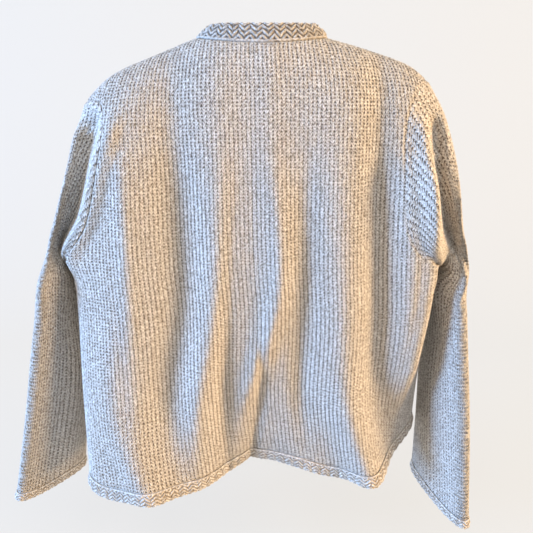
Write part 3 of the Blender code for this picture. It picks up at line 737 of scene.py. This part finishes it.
def tucked(points, hand, reach):
    """Points of a sleeve whose side next to the body leans towards it."""
    x, y, z = points[..., 0], points[..., 1], points[..., 2]
    side, fade = TUCK_SIDE
    back, deep = TUCK_BACK
    share = smooth_step((side - hand * x) / fade) * span_share(z, TUCK_HEIGHT)
    return np.stack([x - hand * reach * share * smooth_step((y + back) / deep), y, z], axis=-1)


def read_grid(grid, rows, columns):
    """Values of a grid at fractional rows and columns."""
    low_row = np.clip(np.floor(rows).astype(int), 0, grid.shape[0] - 2)
    low_column = np.clip(np.floor(columns).astype(int), 0, grid.shape[1] - 2)
    down = (rows - low_row)[..., None]
    aside = (columns - low_column)[..., None]
    upper, lower = (
        grid[row, low_column] * (1 - aside) + grid[row, low_column + 1] * aside
        for row in (low_row, low_row + 1)
    )
    return upper * (1 - down) + lower * down


def smooth_between(values, count, closed):
    """count times as many rows, on smooth curves through the given ones."""
    total = len(values)
    if closed:
        padded = np.concatenate([values[-1:], values, values[:2]])
        places = np.arange(total * count) / count
    else:
        before, after = 2 * values[:1] - values[1:2], 2 * values[-1:] - values[-2:-1]
        padded = np.concatenate([before, values, after])
        places = np.arange((total - 1) * count + 1) / count
    low = np.minimum(np.floor(places).astype(int), total - (1 if closed else 2))
    part = (places - low).reshape((-1,) + (1,) * (values.ndim - 1))
    a, b, c, d = (padded[low + step] for step in range(4))
    bend = 2 * a - 5 * b + 4 * c - d + part * (3 * (b - c) + d - a)
    return b + 0.5 * part * (c - a + part * bend)


def level_rows(side, left_edge, right_edge):
    """Level rows across a panel from its hem up, run on past its armholes."""
    levels = [(fall, 0) for fall in np.linspace(1, 0, LEVEL_ROWS, endpoint=False)]
    levels += [(0, rise) for rise in np.linspace(0, 1, LEVEL_ROWS + 1)]
    rows = []
    for place in levels:
        ends = left_edge(*place), right_edge(*place)
        line = body_row(side, level_height(side, *place), *ends)
        rows.append(along(line, LEVEL_SHARES))
    return np.array(rows)


def far_edge(hand):
    """A panel's edge past its armhole, well outside it."""
    return lambda fall, rise: hand * FAR_ASIDE


def front_edge(hand):
    """A front's inner edge at each level, beside the front opening."""
    bottom = FRONT_HEM.at("z", opening_x(UNDERARM_Z)).item()

    def edge(fall, rise):
        z = UNDERARM_Z + fall * (bottom - UNDERARM_Z) + rise * (-FRONT_NECK_DROP - UNDERARM_Z)
        return opening_x(z) + hand * FRONT_TRIM

    return edge


def cut_shares(rows, side_edge, tip, hand):
    """The share of each row at which an armhole cuts it."""
    shares = np.full(len(rows), 1.0 if hand > 0 else 0.0)
    tip_z = SHOULDER.at("z", tip)
    for number in range(LEVEL_ROWS, len(rows)):
        rise = (number - LEVEL_ROWS) / LEVEL_ROWS
        edge_x = side_edge(UNDERARM_Z + rise * (tip_z - UNDERARM_Z))
        shares[number] = np.interp(edge_x, rows[number][:, 0], LEVEL_SHARES)
    return shares


def hung_courses(length, whole):
    """Courses up to a length from the lower edge, where the cloth's weight draws them longer."""
    share = length / whole
    return round(float(np.mean(whole)) / HUNG_COURSE) * share * (1 - HANG + HANG * share)


def panel_courses(rows):
    """Which course of knitting each point of a panel lies in, counted from the hem."""
    length = column_length(rows)
    waist = length[LEVEL_ROWS]
    lower = hung_courses(length, waist)
    upper = lower[LEVEL_ROWS] + (length - waist) / COURSE
    above = np.arange(len(rows))[:, None] > LEVEL_ROWS
    return np.where(above, upper, lower)


def wrapped(grid):
    """A closed grid with its first column again at the end."""
    return np.concatenate([grid, grid[:, :1]], axis=1)


def knitted(name, rows, normals, inner, courses, cuts, wales, closed, part=slice(None)):
    """A shell of stockinette over a grid of rows that runs from its lower edge up.

    courses counts the knitting at each point of the grid and cuts holds the shares of each
    row between which the cloth lies. part picks some of the wales.
    """
    if closed:
        rows, normals, inner, courses = map(wrapped, (rows, normals, inner, courses))
    steps = rows.shape[1] - 1
    columns = np.arange(wales * LEG_COLUMNS + (0 if closed else 1))[part]
    share = columns / (wales * LEG_COLUMNS)
    lean, crest, groove = (
        np.array(legs)[columns % LEG_COLUMNS][None] for legs in (LEG_LEAN, LEG_CREST, LEG_GROOVE)
    )
    level = np.arange(len(rows))
    walks = read_grid(
        courses[..., None],
        *np.broadcast_arrays(level[:, None].astype(float), (share * steps)[None]),
    )[..., 0]
    top = walks[-1]
    # Two rows of points to a course, and a whole number of the lining's longer steps
    marks = np.arange(-2, int(np.ceil(top.max() * 2)) + 3)
    marks = marks[: len(marks) - (len(marks) - 1) % LINING_STEP]
    marks = np.concatenate([marks, marks[-1] + 1 + np.arange(LINING_STEP)])
    course = np.clip((marks[:, None] + lean) / 2, 0, top[None])
    place = np.stack(
        [np.interp(course[:, k], walks[:, k], level) for k in range(len(columns))], axis=1
    )
    low = np.interp(place, level, cuts[:, 0])
    high = np.interp(place, level, cuts[:, 1])
    across = np.clip(share[None], low, high)
    points = read_grid(rows, place, across * steps)
    facing = unit(read_grid(normals, place, across * steps))
    width = wales * WALE
    near = np.minimum(course, top[None] - course) * COURSE
    if not closed:
        near = np.minimum(near, np.minimum(share[None] - low, high - share[None]) * width)
    held = smooth_step(near / SEAM_REACH)
    wave = np.where((marks % 2 == 0)[:, None], crest, groove)
    relief = STITCH_RELIEF * wave * held - SEAM_DEPTH * (1 - held)
    outer = points + facing * relief[..., None]

    rows_in = np.arange(0, len(marks), LINING_STEP)
    columns_in = np.arange(0, len(columns), LINING_STEP)
    lining = read_grid(inner, place, across * steps)[rows_in][:, columns_in]

    count = len(columns)
    quads = grid_quads(len(marks), count, closed)
    inside = len(marks) * count
    quads_in = grid_quads(len(rows_in), len(columns_in), closed)[:, ::-1] + inside
    rim = rims(len(marks), count, len(columns_in), inside, closed)
    vertices = np.concatenate([outer.reshape(-1, 3), lining.reshape(-1, 3)])
    middle = quads[len(quads) // 2 + count // 2]
    a, b, c = vertices[middle[:3]]
    towards = facing.reshape(-1, 3)[middle[0]]
    faces = [quads, quads_in, rim]
    if np.dot(np.cross(b - a, c - b), towards) < 0:
        faces = [group[:, ::-1] for group in faces]
    stitches = np.stack([across * wales, course], axis=-1)
    stitches_in = stitches[rows_in][:, columns_in]
    pattern = np.concatenate([stitches.reshape(-1, 2), stitches_in.reshape(-1, 2)])
    return shell(name, vertices, faces, pattern, wales)


def placed(name, data):
    """An object in the scene that shows a mesh, a light or a camera."""
    obj = bpy.data.objects.new(name, data)
    bpy.context.scene.collection.objects.link(obj)
    return obj


def grid_quads(count_rows, count, closed):
    """The faces of a grid of points, numbered row by row."""
    columns = np.arange(count if closed else count - 1)
    row, column = np.meshgrid(np.arange(count_rows - 1), columns, indexing="ij")
    there = (column + 1) % count
    near, far = row * count, (row + 1) * count
    quads = np.stack([near + column, far + column, far + there, near + there], axis=-1)
    return quads.reshape(-1, 4)


def rims(count_rows, count, count_in, inside, closed):
    """Triangles between the edges of a fine grid and of the coarser one behind it."""
    rows_in = (count_rows - 1) // LINING_STEP + 1
    fine = np.arange(count_rows * count).reshape(count_rows, count)
    coarse = inside + np.arange(rows_in * count_in).reshape(rows_in, count_in)
    if closed:
        fine, coarse = wrapped(fine), wrapped(coarse)
    strips = [(fine[0], coarse[0], True), (fine[-1], coarse[-1], False)]
    if not closed:
        strips += [(fine[:, 0], coarse[:, 0], False), (fine[:, -1], coarse[:, -1], True)]
    triangles = []
    for edge, behind, forward in strips:
        for step in range(len(behind) - 1):
            first = step * LINING_STEP
            last = min(first + LINING_STEP, len(edge) - 1)
            piece = [(edge[i], edge[i + 1], behind[step]) for i in range(first, last)]
            piece.append((edge[last], behind[step + 1], behind[step]))
            triangles += piece if forward else [corner[::-1] for corner in piece]
    return np.array(triangles)


def shell(name, vertices, face_groups, pattern, wrap):
    """A mesh from groups of faces, with equal points joined and no face without area.

    pattern holds each point's place in the knitting, as a count of wales and of courses; a
    closed piece has wrap wales. The rim is the last group, and its edges stay sharp.
    """
    _, first, index = np.unique(
        np.round(vertices, 6), axis=0, return_index=True, return_inverse=True
    )
    index = index.ravel()
    faces, corners = [], []
    for places in face_groups:
        group = index[places]
        same = group == np.roll(group, -1, axis=1)
        whole = same.sum(axis=1) == 0
        faces += group[whole].tolist()
        corners.append(places[whole].ravel())
        if group.shape[1] == 4:
            short = same.sum(axis=1) == 1
            kept = ~same[short]
            faces += group[short][kept].reshape(-1, 3).tolist()
            corners.append(places[short][kept])
    mesh = bpy.data.meshes.new(name)
    mesh.from_pydata(vertices[first].tolist(), [], faces)
    mesh.shade_smooth()
    uv = pattern[np.concatenate(corners)]
    starts = np.empty(len(mesh.polygons), np.int32)
    mesh.polygons.foreach_get("loop_start", starts)
    far = np.maximum.reduceat(uv[:, 0], starts) - np.minimum.reduceat(uv[:, 0], starts) > wrap / 2
    sizes = np.diff(np.append(starts, len(uv)))
    uv[:, 0] += np.where(np.repeat(far, sizes) & (uv[:, 0] < wrap / 2), wrap, 0)
    mesh.uv_layers.new(name="stitches").data.foreach_set("uv", uv.ravel())
    ends = np.empty(len(mesh.edges) * 2, np.int32)
    mesh.edges.foreach_get("vertices", ends)
    ends = np.sort(ends.reshape(-1, 2), axis=1)
    rim = index[face_groups[-1]]
    rim = np.sort(np.concatenate([rim[:, [0, 1]], rim[:, [1, 2]], rim[:, [2, 0]]]), axis=1)
    sharp = np.isin(ends[:, 0] * len(first) + ends[:, 1], rim[:, 0] * len(first) + rim[:, 1])
    mesh.attributes.new("sharp_edge", "BOOLEAN", "EDGE").data.foreach_set("value", sharp)
    return placed(name, mesh)


def even_path(path, out, up, pitch, closed):
    """A path and its directions at even steps, a whole number of braid periods long."""
    if closed:
        path, out, up = (np.concatenate([field, field[:1]]) for field in (path, out, up))
    length = run_length(path)
    periods = max(2, round(length[-1] / pitch))
    places = np.linspace(0, length[-1], periods * BRAID_STEPS + 1)
    if closed:
        places = places[:-1]
    read = [read_line(field, length, places) for field in (path, out, up)]
    for _ in range(FRAME_EASING):
        for field in read[1:]:
            aside = (np.roll(field, 1, axis=0) + np.roll(field, -1, axis=0)) / 2
            ends = slice(None) if closed else slice(1, -1)
            field[ends] = (field[ends] + aside[ends]) / 2
    return read[0], unit(read[1]), unit(read[2])


def tube(name, points, closed, patterned):
    """A closed skin over rings of points, with a cap at either end unless the ends meet."""
    count, around = points.shape[:2]
    column, side = np.meshgrid(
        np.arange(count if closed else count - 1), np.arange(around), indexing="ij"
    )
    near, far, beside = column * around, (column + 1) % count * around, (side + 1) % around
    quads = np.stack([near + side, near + beside, far + beside, far + side], axis=-1).reshape(-1, 4)
    vertices = points.reshape(-1, 3)
    groups = [quads, quads[:0, :3]]
    if not closed:
        vertices = np.concatenate([vertices, points[[0, -1]].mean(axis=1)])
        ring, beside = np.arange(around), np.roll(np.arange(around), -1)
        first, last = len(vertices) - 2, len(vertices) - 1
        base = (count - 1) * around
        caps = [(ring, beside, ring * 0 + first), (base + beside, base + ring, ring * 0 + last)]
        groups = [quads, np.concatenate([np.stack(cap, axis=1) for cap in caps])[:, ::-1]]
    centre = points.mean(axis=1)
    a, b, c = vertices[quads[around // 4 + around * (count // 2)][:3]]
    outward = a - centre[count // 2]
    if np.dot(np.cross(b - a, c - b), outward) < 0:
        groups = [group[:, ::-1] for group in groups]
    pattern = np.zeros((len(vertices), 2))
    if patterned:
        steps = np.arange(count) / BRAID_STEPS, np.arange(around) / STRAND_STEPS
        places = np.stack(np.meshgrid(*steps, indexing="ij"), axis=-1)
        pattern[: count * around] = places.reshape(-1, 2)
    return shell(name, vertices, groups, pattern, count / BRAID_STEPS)


def rolled(name, frame_lines, closed, pitch):
    """A thin rolled cord along the seam between a trim and its panel."""
    path, out, up = even_path(*frame_lines, pitch, closed)
    turn = 2 * np.pi * np.arange(CORD_SIDES) / CORD_SIDES
    across = (CORD_RADIUS * np.cos(turn))[None, :, None]
    height = (CORD_RADIUS * (np.sin(turn) + CORD_LIFT))[None, :, None]
    return tube(name, path[:, None] + out[:, None] * across + up[:, None] * height, closed, False)


def braided(name, frame_lines, height, thick, strands, closed, pitch):
    """A rounded roll along a panel's edge, with strands that zigzag over its outer side."""
    path, out, up = even_path(*frame_lines, pitch, closed)
    count = len(path)
    step = np.arange(count)
    zigzag = 1 - np.abs((step % BRAID_STEPS) / (BRAID_STEPS / 2) - 1)
    sides = strands * STRAND_STEPS + 1
    row = np.arange(sides + STRAND_STEPS)
    share = np.clip((row[:, None] + (zigzag[None] - 1) * STRAND_STEPS) / (sides - 1), 0, 1)
    ridge = np.cos(2 * np.pi * row / STRAND_STEPS)[:, None]
    kink = np.where(step % (BRAID_STEPS // 2) == 0, TURN_RELIEF, 1)[None]
    rising = np.where(step % BRAID_STEPS < BRAID_STEPS / 2, RISING_RELIEF, FALLING_RELIEF)[None]
    edge = smooth_step(np.minimum(share, 1 - share) / ROLL_EDGE)
    relief = BRAID_RELIEF * (ridge * kink * rising) * edge
    turn = np.linspace(0, np.pi, ROLL_SAMPLES)
    high, deep = (squared(wave(turn), ROLL_FULLNESS) for wave in (np.cos, np.sin))
    length = run_length(np.stack([high * height, deep * thick], axis=1))
    angle = np.interp(share * length[-1], length, turn)
    back_angle = np.pi * (1 + np.arange(1, BACK_STEPS) / BACK_STEPS)
    angle = np.concatenate([angle, np.repeat(back_angle[:, None], count, axis=1)])
    relief = np.concatenate([relief, np.zeros((BACK_STEPS - 1, count))])
    cosine, sine = np.cos(angle), np.sin(angle)
    along_out = squared(cosine, ROLL_FULLNESS) * (height / 2) + height / 2
    along_up = squared(sine, ROLL_FULLNESS) * (thick / 2) - WALL / 2
    points = (
        (path + out * SEAM_GAP)[None]
        + out[None] * (along_out + relief * cosine)[..., None]
        + up[None] * (along_up + relief * sine)[..., None]
    )
    return tube(name, points.transpose(1, 0, 2), closed, True)


# Wool: a pale oatmeal yarn with darker and lighter flecks, patchy, and with painted shade between
# stitches
WHITE = (1, 1, 1, 1)
FLECKS = (
    (0.35, (0.36, 0.310, 0.255, 1)),
    (0.46, (0.63, 0.580, 0.510, 1)),
    (0.56, (0.78, 0.735, 0.665, 1)),
    (0.66, (0.88, 0.840, 0.780, 1)),
)
PATCH_TINT = (0.70, 0.67, 0.64)
PATCH_SPAN = (0.32, 0.60)
SHADE_SPAN = (0.0, 0.55)

# Noises: scale, detail and roughness; the scale of the flecks is each wool's own
FLECK_NOISE = (3.0, 0.62)
PATCH_NOISE = (230, 2.0, 0.55)
WALE_NOISE = (170, 1.0, 0.55)
COURSE_NOISE = (140, 1.0, 0.55)
FIBRE_NOISE = (2400, 4.0, 0.7)
WALE_SWING = 0.5
COURSE_SWING = 0.7

# Drawn stitches: how sharp the dark lines of painted shade between and across them are, and how
# deep
SHARP_CROSSING = 6.0
SHARP_WALE = 2.4
SHARP_GAP = 1.7
SHARP_MIDDLE = 6.0
CROSSING_DEPTH = 0.45
GAP_DEPTH = 1.5
WALE_DEPTH = 0.05
MIDDLE_DEPTH = 0.25
LEG_HEIGHT = 0.45

# Wool's own sockets, and the distance and strength of its bumps
WOOL_SOCKETS = {
    "Roughness": 0.92,
    "Specular IOR Level": 0.15,
    "Sheen Weight": 0.35,
    "Sheen Roughness": 0.55,
    "Sheen Tint": (0.95, 0.92, 0.88, 1),
}
FIBRE_RISE = 0.0006
STRAND_RISE = 0.0011
STRAND_BUMP = 0.8


def wool(name, fleck, bump, shadow, braid, tone):
    """A wool with stitches drawn in bump and in painted shade over a piece's own count of them."""
    made = bpy.data.materials.new(name)
    made.use_nodes = True
    nodes, links = made.node_tree.nodes, made.node_tree.links
    shader = nodes["Principled BSDF"]
    place = nodes.new("ShaderNodeTexCoord").outputs["Object"]

    def feed(sockets, values):
        for socket, value in zip(sockets, values):
            if hasattr(value, "links"):
                links.new(value, socket)
            else:
                socket.default_value = value

    def noise(*settings):
        node = nodes.new("ShaderNodeTexNoise")
        names = ("Vector", "Scale", "Detail", "Roughness")
        feed([node.inputs[name] for name in names], (place, *settings))
        return node.outputs["Fac"]

    def ramp(value, *stops):
        node = nodes.new("ShaderNodeValToRGB")
        band = node.color_ramp
        while len(band.elements) < len(stops):
            band.elements.new(0.5)
        for element, (position, colour) in zip(band.elements, stops):
            element.position = position
            element.color = colour
        links.new(value, node.inputs["Fac"])
        return node.outputs["Color"]

    def multiplied(first, second):
        node = nodes.new("ShaderNodeMix")
        node.data_type = "RGBA"
        node.blend_type = "MULTIPLY"
        feed([node.inputs[number] for number in (0, 6, 7)], (1.0, first, second))
        return node.outputs[2]

    def maths(operation, *values):
        node = nodes.new("ShaderNodeMath")
        node.operation = operation
        feed(node.inputs, values)
        return node.outputs[0]

    def hill(value):
        """1 where value is a whole number, 0 half-way between."""
        wave = maths("COSINE", maths("MULTIPLY", value, 2 * np.pi))
        return maths("MULTIPLY_ADD", wave, 0.5, 0.5)

    def swung(value, settings, swing):
        """A count of stitches that strays by up to half its swing."""
        return maths("ADD", value, maths("MULTIPLY_ADD", noise(*settings), swing, -swing / 2))

    def bumped(height, rise, strength):
        node = nodes.new("ShaderNodeBump")
        names = ("Height", "Distance", "Strength")
        feed([node.inputs[name] for name in names], (height, rise, strength))
        return node

    stitches = nodes.new("ShaderNodeUVMap")
    stitches.uv_map = "stitches"
    split = nodes.new("ShaderNodeSeparateXYZ")
    links.new(stitches.outputs["UV"], split.inputs["Vector"])
    wale = swung(split.outputs["X"], WALE_NOISE, WALE_SWING)
    course = swung(split.outputs["Y"], COURSE_NOISE, COURSE_SWING)
    # The stitches' height gives their bump and also darkens their colour: painted shade in the gaps
    # and where strands cross
    if braid:
        crossing = maths("POWER", hill(maths("MULTIPLY", wale, 2.0)), SHARP_CROSSING)
        height = maths("SUBTRACT", hill(course), maths("MULTIPLY", crossing, CROSSING_DEPTH))
    else:
        aside = maths("ABSOLUTE", maths("SUBTRACT", maths("FRACT", wale), 0.5))
        leg = hill(maths("SUBTRACT", course, maths("MULTIPLY_ADD", aside, 2.0, -0.5)))
        between = maths("POWER", hill(wale), SHARP_WALE)
        gap = maths("POWER", maths("SUBTRACT", 1.0, leg), SHARP_GAP)
        pit = maths("MULTIPLY", between, maths("MULTIPLY_ADD", gap, GAP_DEPTH, WALE_DEPTH))
        middle = maths("POWER", hill(maths("ADD", wale, 0.5)), SHARP_MIDDLE)
        dark = maths("ADD", pit, maths("MULTIPLY", middle, MIDDLE_DEPTH))
        height = maths("SUBTRACT", maths("MULTIPLY_ADD", leg, LEG_HEIGHT, 1 - LEG_HEIGHT), dark)
    tints = [(*(tone * part for part in tint), 1) for tint in (PATCH_TINT, WHITE[:3])]
    patches = ramp(noise(*PATCH_NOISE), *zip(PATCH_SPAN, tints))
    colour = multiplied(ramp(noise(fleck, *FLECK_NOISE), *FLECKS), patches)
    # Painted shade: the colour darkens towards shadow where the stitches' height is low, in the
    # gaps between them
    shade = ramp(height, *zip(SHADE_SPAN, (shadow, WHITE)))
    links.new(multiplied(colour, shade), shader.inputs["Base Color"])
    feed([shader.inputs[socket] for socket in WOOL_SOCKETS], WOOL_SOCKETS.values())
    fibres = bumped(noise(*FIBRE_NOISE), FIBRE_RISE, bump)
    strands = bumped(height, STRAND_RISE, STRAND_BUMP)
    links.new(strands.outputs["Normal"], fibres.inputs["Normal"])
    links.new(fibres.outputs["Normal"], shader.inputs["Normal"])
    return made


def dressed(obj, surface, slot, *nodes):
    """Gives a piece its wool and the solids that it stands for; slot is not used."""
    obj.data.materials.append(surface)
    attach(obj, "root")
    if nodes:
        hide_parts(*nodes)


# The fourth value of each wool is the colour of its painted shade between stitches
knit_wool = wool("wool_knit", 520, 0.45, (0.24, 0.20, 0.17, 1), False, 0.93)
trim_wool = wool("wool_braid", 430, 0.5, (0.52, 0.47, 0.42, 1), True, 0.93)
# The neck trim's wool is a darker copy of the braid's wool: painted shade over the whole neck trim,
# with deeper painted shade between its strands
shaded_neck_wool = wool("wool_braid_neck_shaded", 430, 0.5, (0.30, 0.27, 0.25, 1), True, 0.74)

# The solids' own rows, finely divided, give the sleeves their armholes and the trims their
# paths
back = back_rows()
front_left = front_left_rows()
front_right = front_right_rows()
armhole = slice(ARMHOLE_ROWS, None, -DETAIL)
sleeves = {}
for name, sections, bulges, front, edge, hand, reach in (
    ("sleeve_left", SLEEVE_LEFT, BULGES_LEFT, front_left, 0, -1, TUCK_LEFT),
    ("sleeve_right", SLEEVE_RIGHT, BULGES_RIGHT, front_right, -1, 1, TUCK_RIGHT),
):
    flip = hand > 0
    rings = sleeve_rows(sections, bulges, back[armhole, edge], front[armhole, edge])
    lining = rings - wall_offsets(grid_normals(rings, True, flip))
    walls = []
    for grid in (rings, lining):
        lengthwise = smooth_between(grid, ALONG_DETAIL, False)
        fine = smooth_between(lengthwise.transpose(1, 0, 2), AROUND_DETAIL, True).transpose(1, 0, 2)
        walls.append(pouched(creased(tucked(fine, hand, reach))))
    sleeves[name] = (walls[0], grid_normals(walls[0], True, flip), walls[1])
grids = {
    "back": (back, grid_normals(back, False, False)),
    "front_left": (front_left, grid_normals(front_left, False, True)),
    "front_right": (front_right, grid_normals(front_right, False, True)),
    "sleeve_left": sleeves["sleeve_left"][:2],
    "sleeve_right": sleeves["sleeve_right"][:2],
}
shared_normals(grids)

# Knitted panels
panels = {
    "back": (-1, far_edge(-1), far_edge(1), False),
    "front_left": (1, far_edge(-1), front_edge(-1), True),
    "front_right": (1, front_edge(1), far_edge(1), True),
}
for name, (side, left_edge, right_edge, flip) in panels.items():
    rows = creased(level_rows(side, left_edge, right_edge))
    cuts = np.tile([0.0, 1.0], (len(rows), 1))
    if name != "front_right":
        cuts[:, 0] = cut_shares(rows, left_side, TIP_LEFT, -1)
    if name != "front_left":
        cuts[:, 1] = cut_shares(rows, right_side, TIP_RIGHT, 1)
    rows = pouched(rows)
    normals = -grid_normals(rows, False, flip)
    girth = float(np.mean([run_length(row)[-1] for row in rows]))
    length = float(np.mean(column_length(rows)[-1]))
    wales = 2 * round(girth / WALE / 2)
    half = wales // 2 * LEG_COLUMNS
    pieces = {"knit_" + name: slice(None)}
    if name == "back":
        pieces = {"knit_back_left": slice(0, half + 1), "knit_back_right": slice(half, None)}
    grid = rows, normals, rows - normals * WALL, panel_courses(rows)
    for piece, part in pieces.items():
        obj = knitted(piece, *grid, cuts, wales, False, part)
        dressed(obj, knit_wool, "knit", name)
for name, (fine, normals, lining) in sleeves.items():
    rows = fine[::-1]
    girths = [np.linalg.norm(np.roll(row, 1, axis=0) - row, axis=1).sum() for row in rows]
    girth = float(np.mean(girths))
    length = column_length(rows)
    courses = hung_courses(length, length[-1])
    wales = 2 * round(girth / WALE / 2)
    cuts = np.tile([0.0, 1.0], (len(rows), 1))
    obj = knitted("knit_" + name, rows, normals[::-1], lining[::-1], courses, cuts, wales, True)
    dressed(obj, knit_wool, "knit", name)

# Braided trims, and the cord on the seam of each but the front trims
FRONT_HEIGHT = FRONT_TRIM - OPENING_HALF - SEAM_GAP
trims = {
    "hem_trim": (hem_frame(grids), HEM_TRIM),
    "neck_trim": (neck_frame(grids), NECK_TRIM),
    "front_trim_left": (front_frame(grids["front_left"], -1, -2), FRONT_HEIGHT),
    "front_trim_right": (front_frame(grids["front_right"], 0, 1), FRONT_HEIGHT),
    "cuff_trim_left": (edge_frame(grids["sleeve_left"], -1, -2), CUFF_TRIM),
    "cuff_trim_right": (edge_frame(grids["sleeve_right"], -1, -2), CUFF_TRIM),
}
for name, (lines, height) in trims.items():
    closed = name.startswith("cuff")
    thick, strands, period = TRIM_THICK, TRIM_STRANDS, BRAID_PERIOD
    if closed:
        thick, strands, period = CUFF_THICK, CUFF_STRANDS, CUFF_PERIOD
    yarn = shaded_neck_wool if name == "neck_trim" else trim_wool
    braid = braided("braid_" + name, lines, height, thick, strands, closed, period)
    dressed(braid, yarn, "trim", name)
    if not name.startswith("front"):
        dressed(rolled("cord_" + name, lines, closed, period), yarn, "trim")

# Camera at the picture's angle, a pale floor and soft light, cool from the left and warm
# from the right
CAMERA_PLACE = (0.006, -0.70, -0.064)
CAMERA_TILT = 72
LENS = 36
SENSOR = 36
FLOOR_Z = -0.86
FLOOR_HALF = 5.0
FLOOR_COLOUR = (0.12, 0.12, 0.12, 1)
FLOOR_ROUGHNESS = 0.9
FLOOR_GLOW = (1, 0.985, 0.945, 1)
GLOW_STRENGTH = 0.67
SWEEP_Y = 0.9
SWEEP_BEND = 0.9
SWEEP_STEPS = 13
WALL_TOP = 3.2
AIR_COLOUR = (1.0, 0.74, 0.50, 1)
AIR_STRENGTH = 0.30

camera = placed("camera", bpy.data.cameras.new("camera"))
camera.data.lens = LENS
camera.data.sensor_width = SENSOR
camera.location = CAMERA_PLACE
camera.rotation_euler = (np.radians(CAMERA_TILT), 0, 0)
bpy.context.scene.camera = camera
bpy.context.scene.view_settings.view_transform = "Standard"


def sweep(name):
    """A floor that turns up into a wall behind the garment's open front."""
    turn = np.linspace(0, np.pi / 2, SWEEP_STEPS)
    profile = [(-FLOOR_HALF, 0.0)]
    profile += [(SWEEP_Y + SWEEP_BEND * np.sin(t), SWEEP_BEND * (1 - np.cos(t))) for t in turn]
    profile.append((SWEEP_Y + SWEEP_BEND, WALL_TOP))
    points = [(x, y, z + FLOOR_Z) for x in (-FLOOR_HALF, FLOOR_HALF) for y, z in profile]
    count = len(profile)
    mesh = bpy.data.meshes.new(name)
    mesh.from_pydata(points, [], [(i, count + i, count + i + 1, i + 1) for i in range(count - 1)])
    mesh.shade_smooth()
    made = bpy.data.materials.new(name)
    made.use_nodes = True
    sockets = made.node_tree.nodes["Principled BSDF"].inputs
    sockets["Base Color"].default_value = FLOOR_COLOUR
    sockets["Roughness"].default_value = FLOOR_ROUGHNESS
    sockets["Emission Color"].default_value = FLOOR_GLOW
    sockets["Emission Strength"].default_value = GLOW_STRENGTH
    mesh.materials.append(made)
    placed(name, mesh)


sweep("floor")

world = bpy.data.worlds.new("world")
bpy.context.scene.world = world
world.use_nodes = True
air = world.node_tree.nodes["Background"].inputs
air["Color"].default_value = AIR_COLOUR
air["Strength"].default_value = AIR_STRENGTH

# Lights: place, width and height, watts, colour and the point that each faces
GARMENT = (0, 0, -0.35)
LIGHTS = {
    "cool left": ((-2.9, -1.0, 0.1), (1.2, 2.2), 258, (0.28, 0.53, 1.0), GARMENT),
    "warm right": ((2.9, -1.0, 0.1), (1.2, 2.2), 166, (1.0, 0.67, 0.35), GARMENT),
    "above": ((0.0, -1.3, 1.6), (1.6, 1.2), 30, (0.93, 0.96, 1.0), GARMENT),
    "backdrop": ((0.0, 0.9, 2.2), (3.2, 0.8), 14, (1.0, 1.0, 1.0), (0, 2.2, -0.3)),
}
for name, (place, size, power, colour, towards) in LIGHTS.items():
    lamp = bpy.data.lights.new(name, "AREA")
    lamp.shape = "RECTANGLE"
    lamp.size, lamp.size_y = size
    lamp.energy = power
    lamp.color = colour
    obj = placed(name, lamp)
    obj.location = place
    obj.rotation_euler = (Vector(towards) - Vector(place)).to_track_quat("-Z", "Y").to_euler()
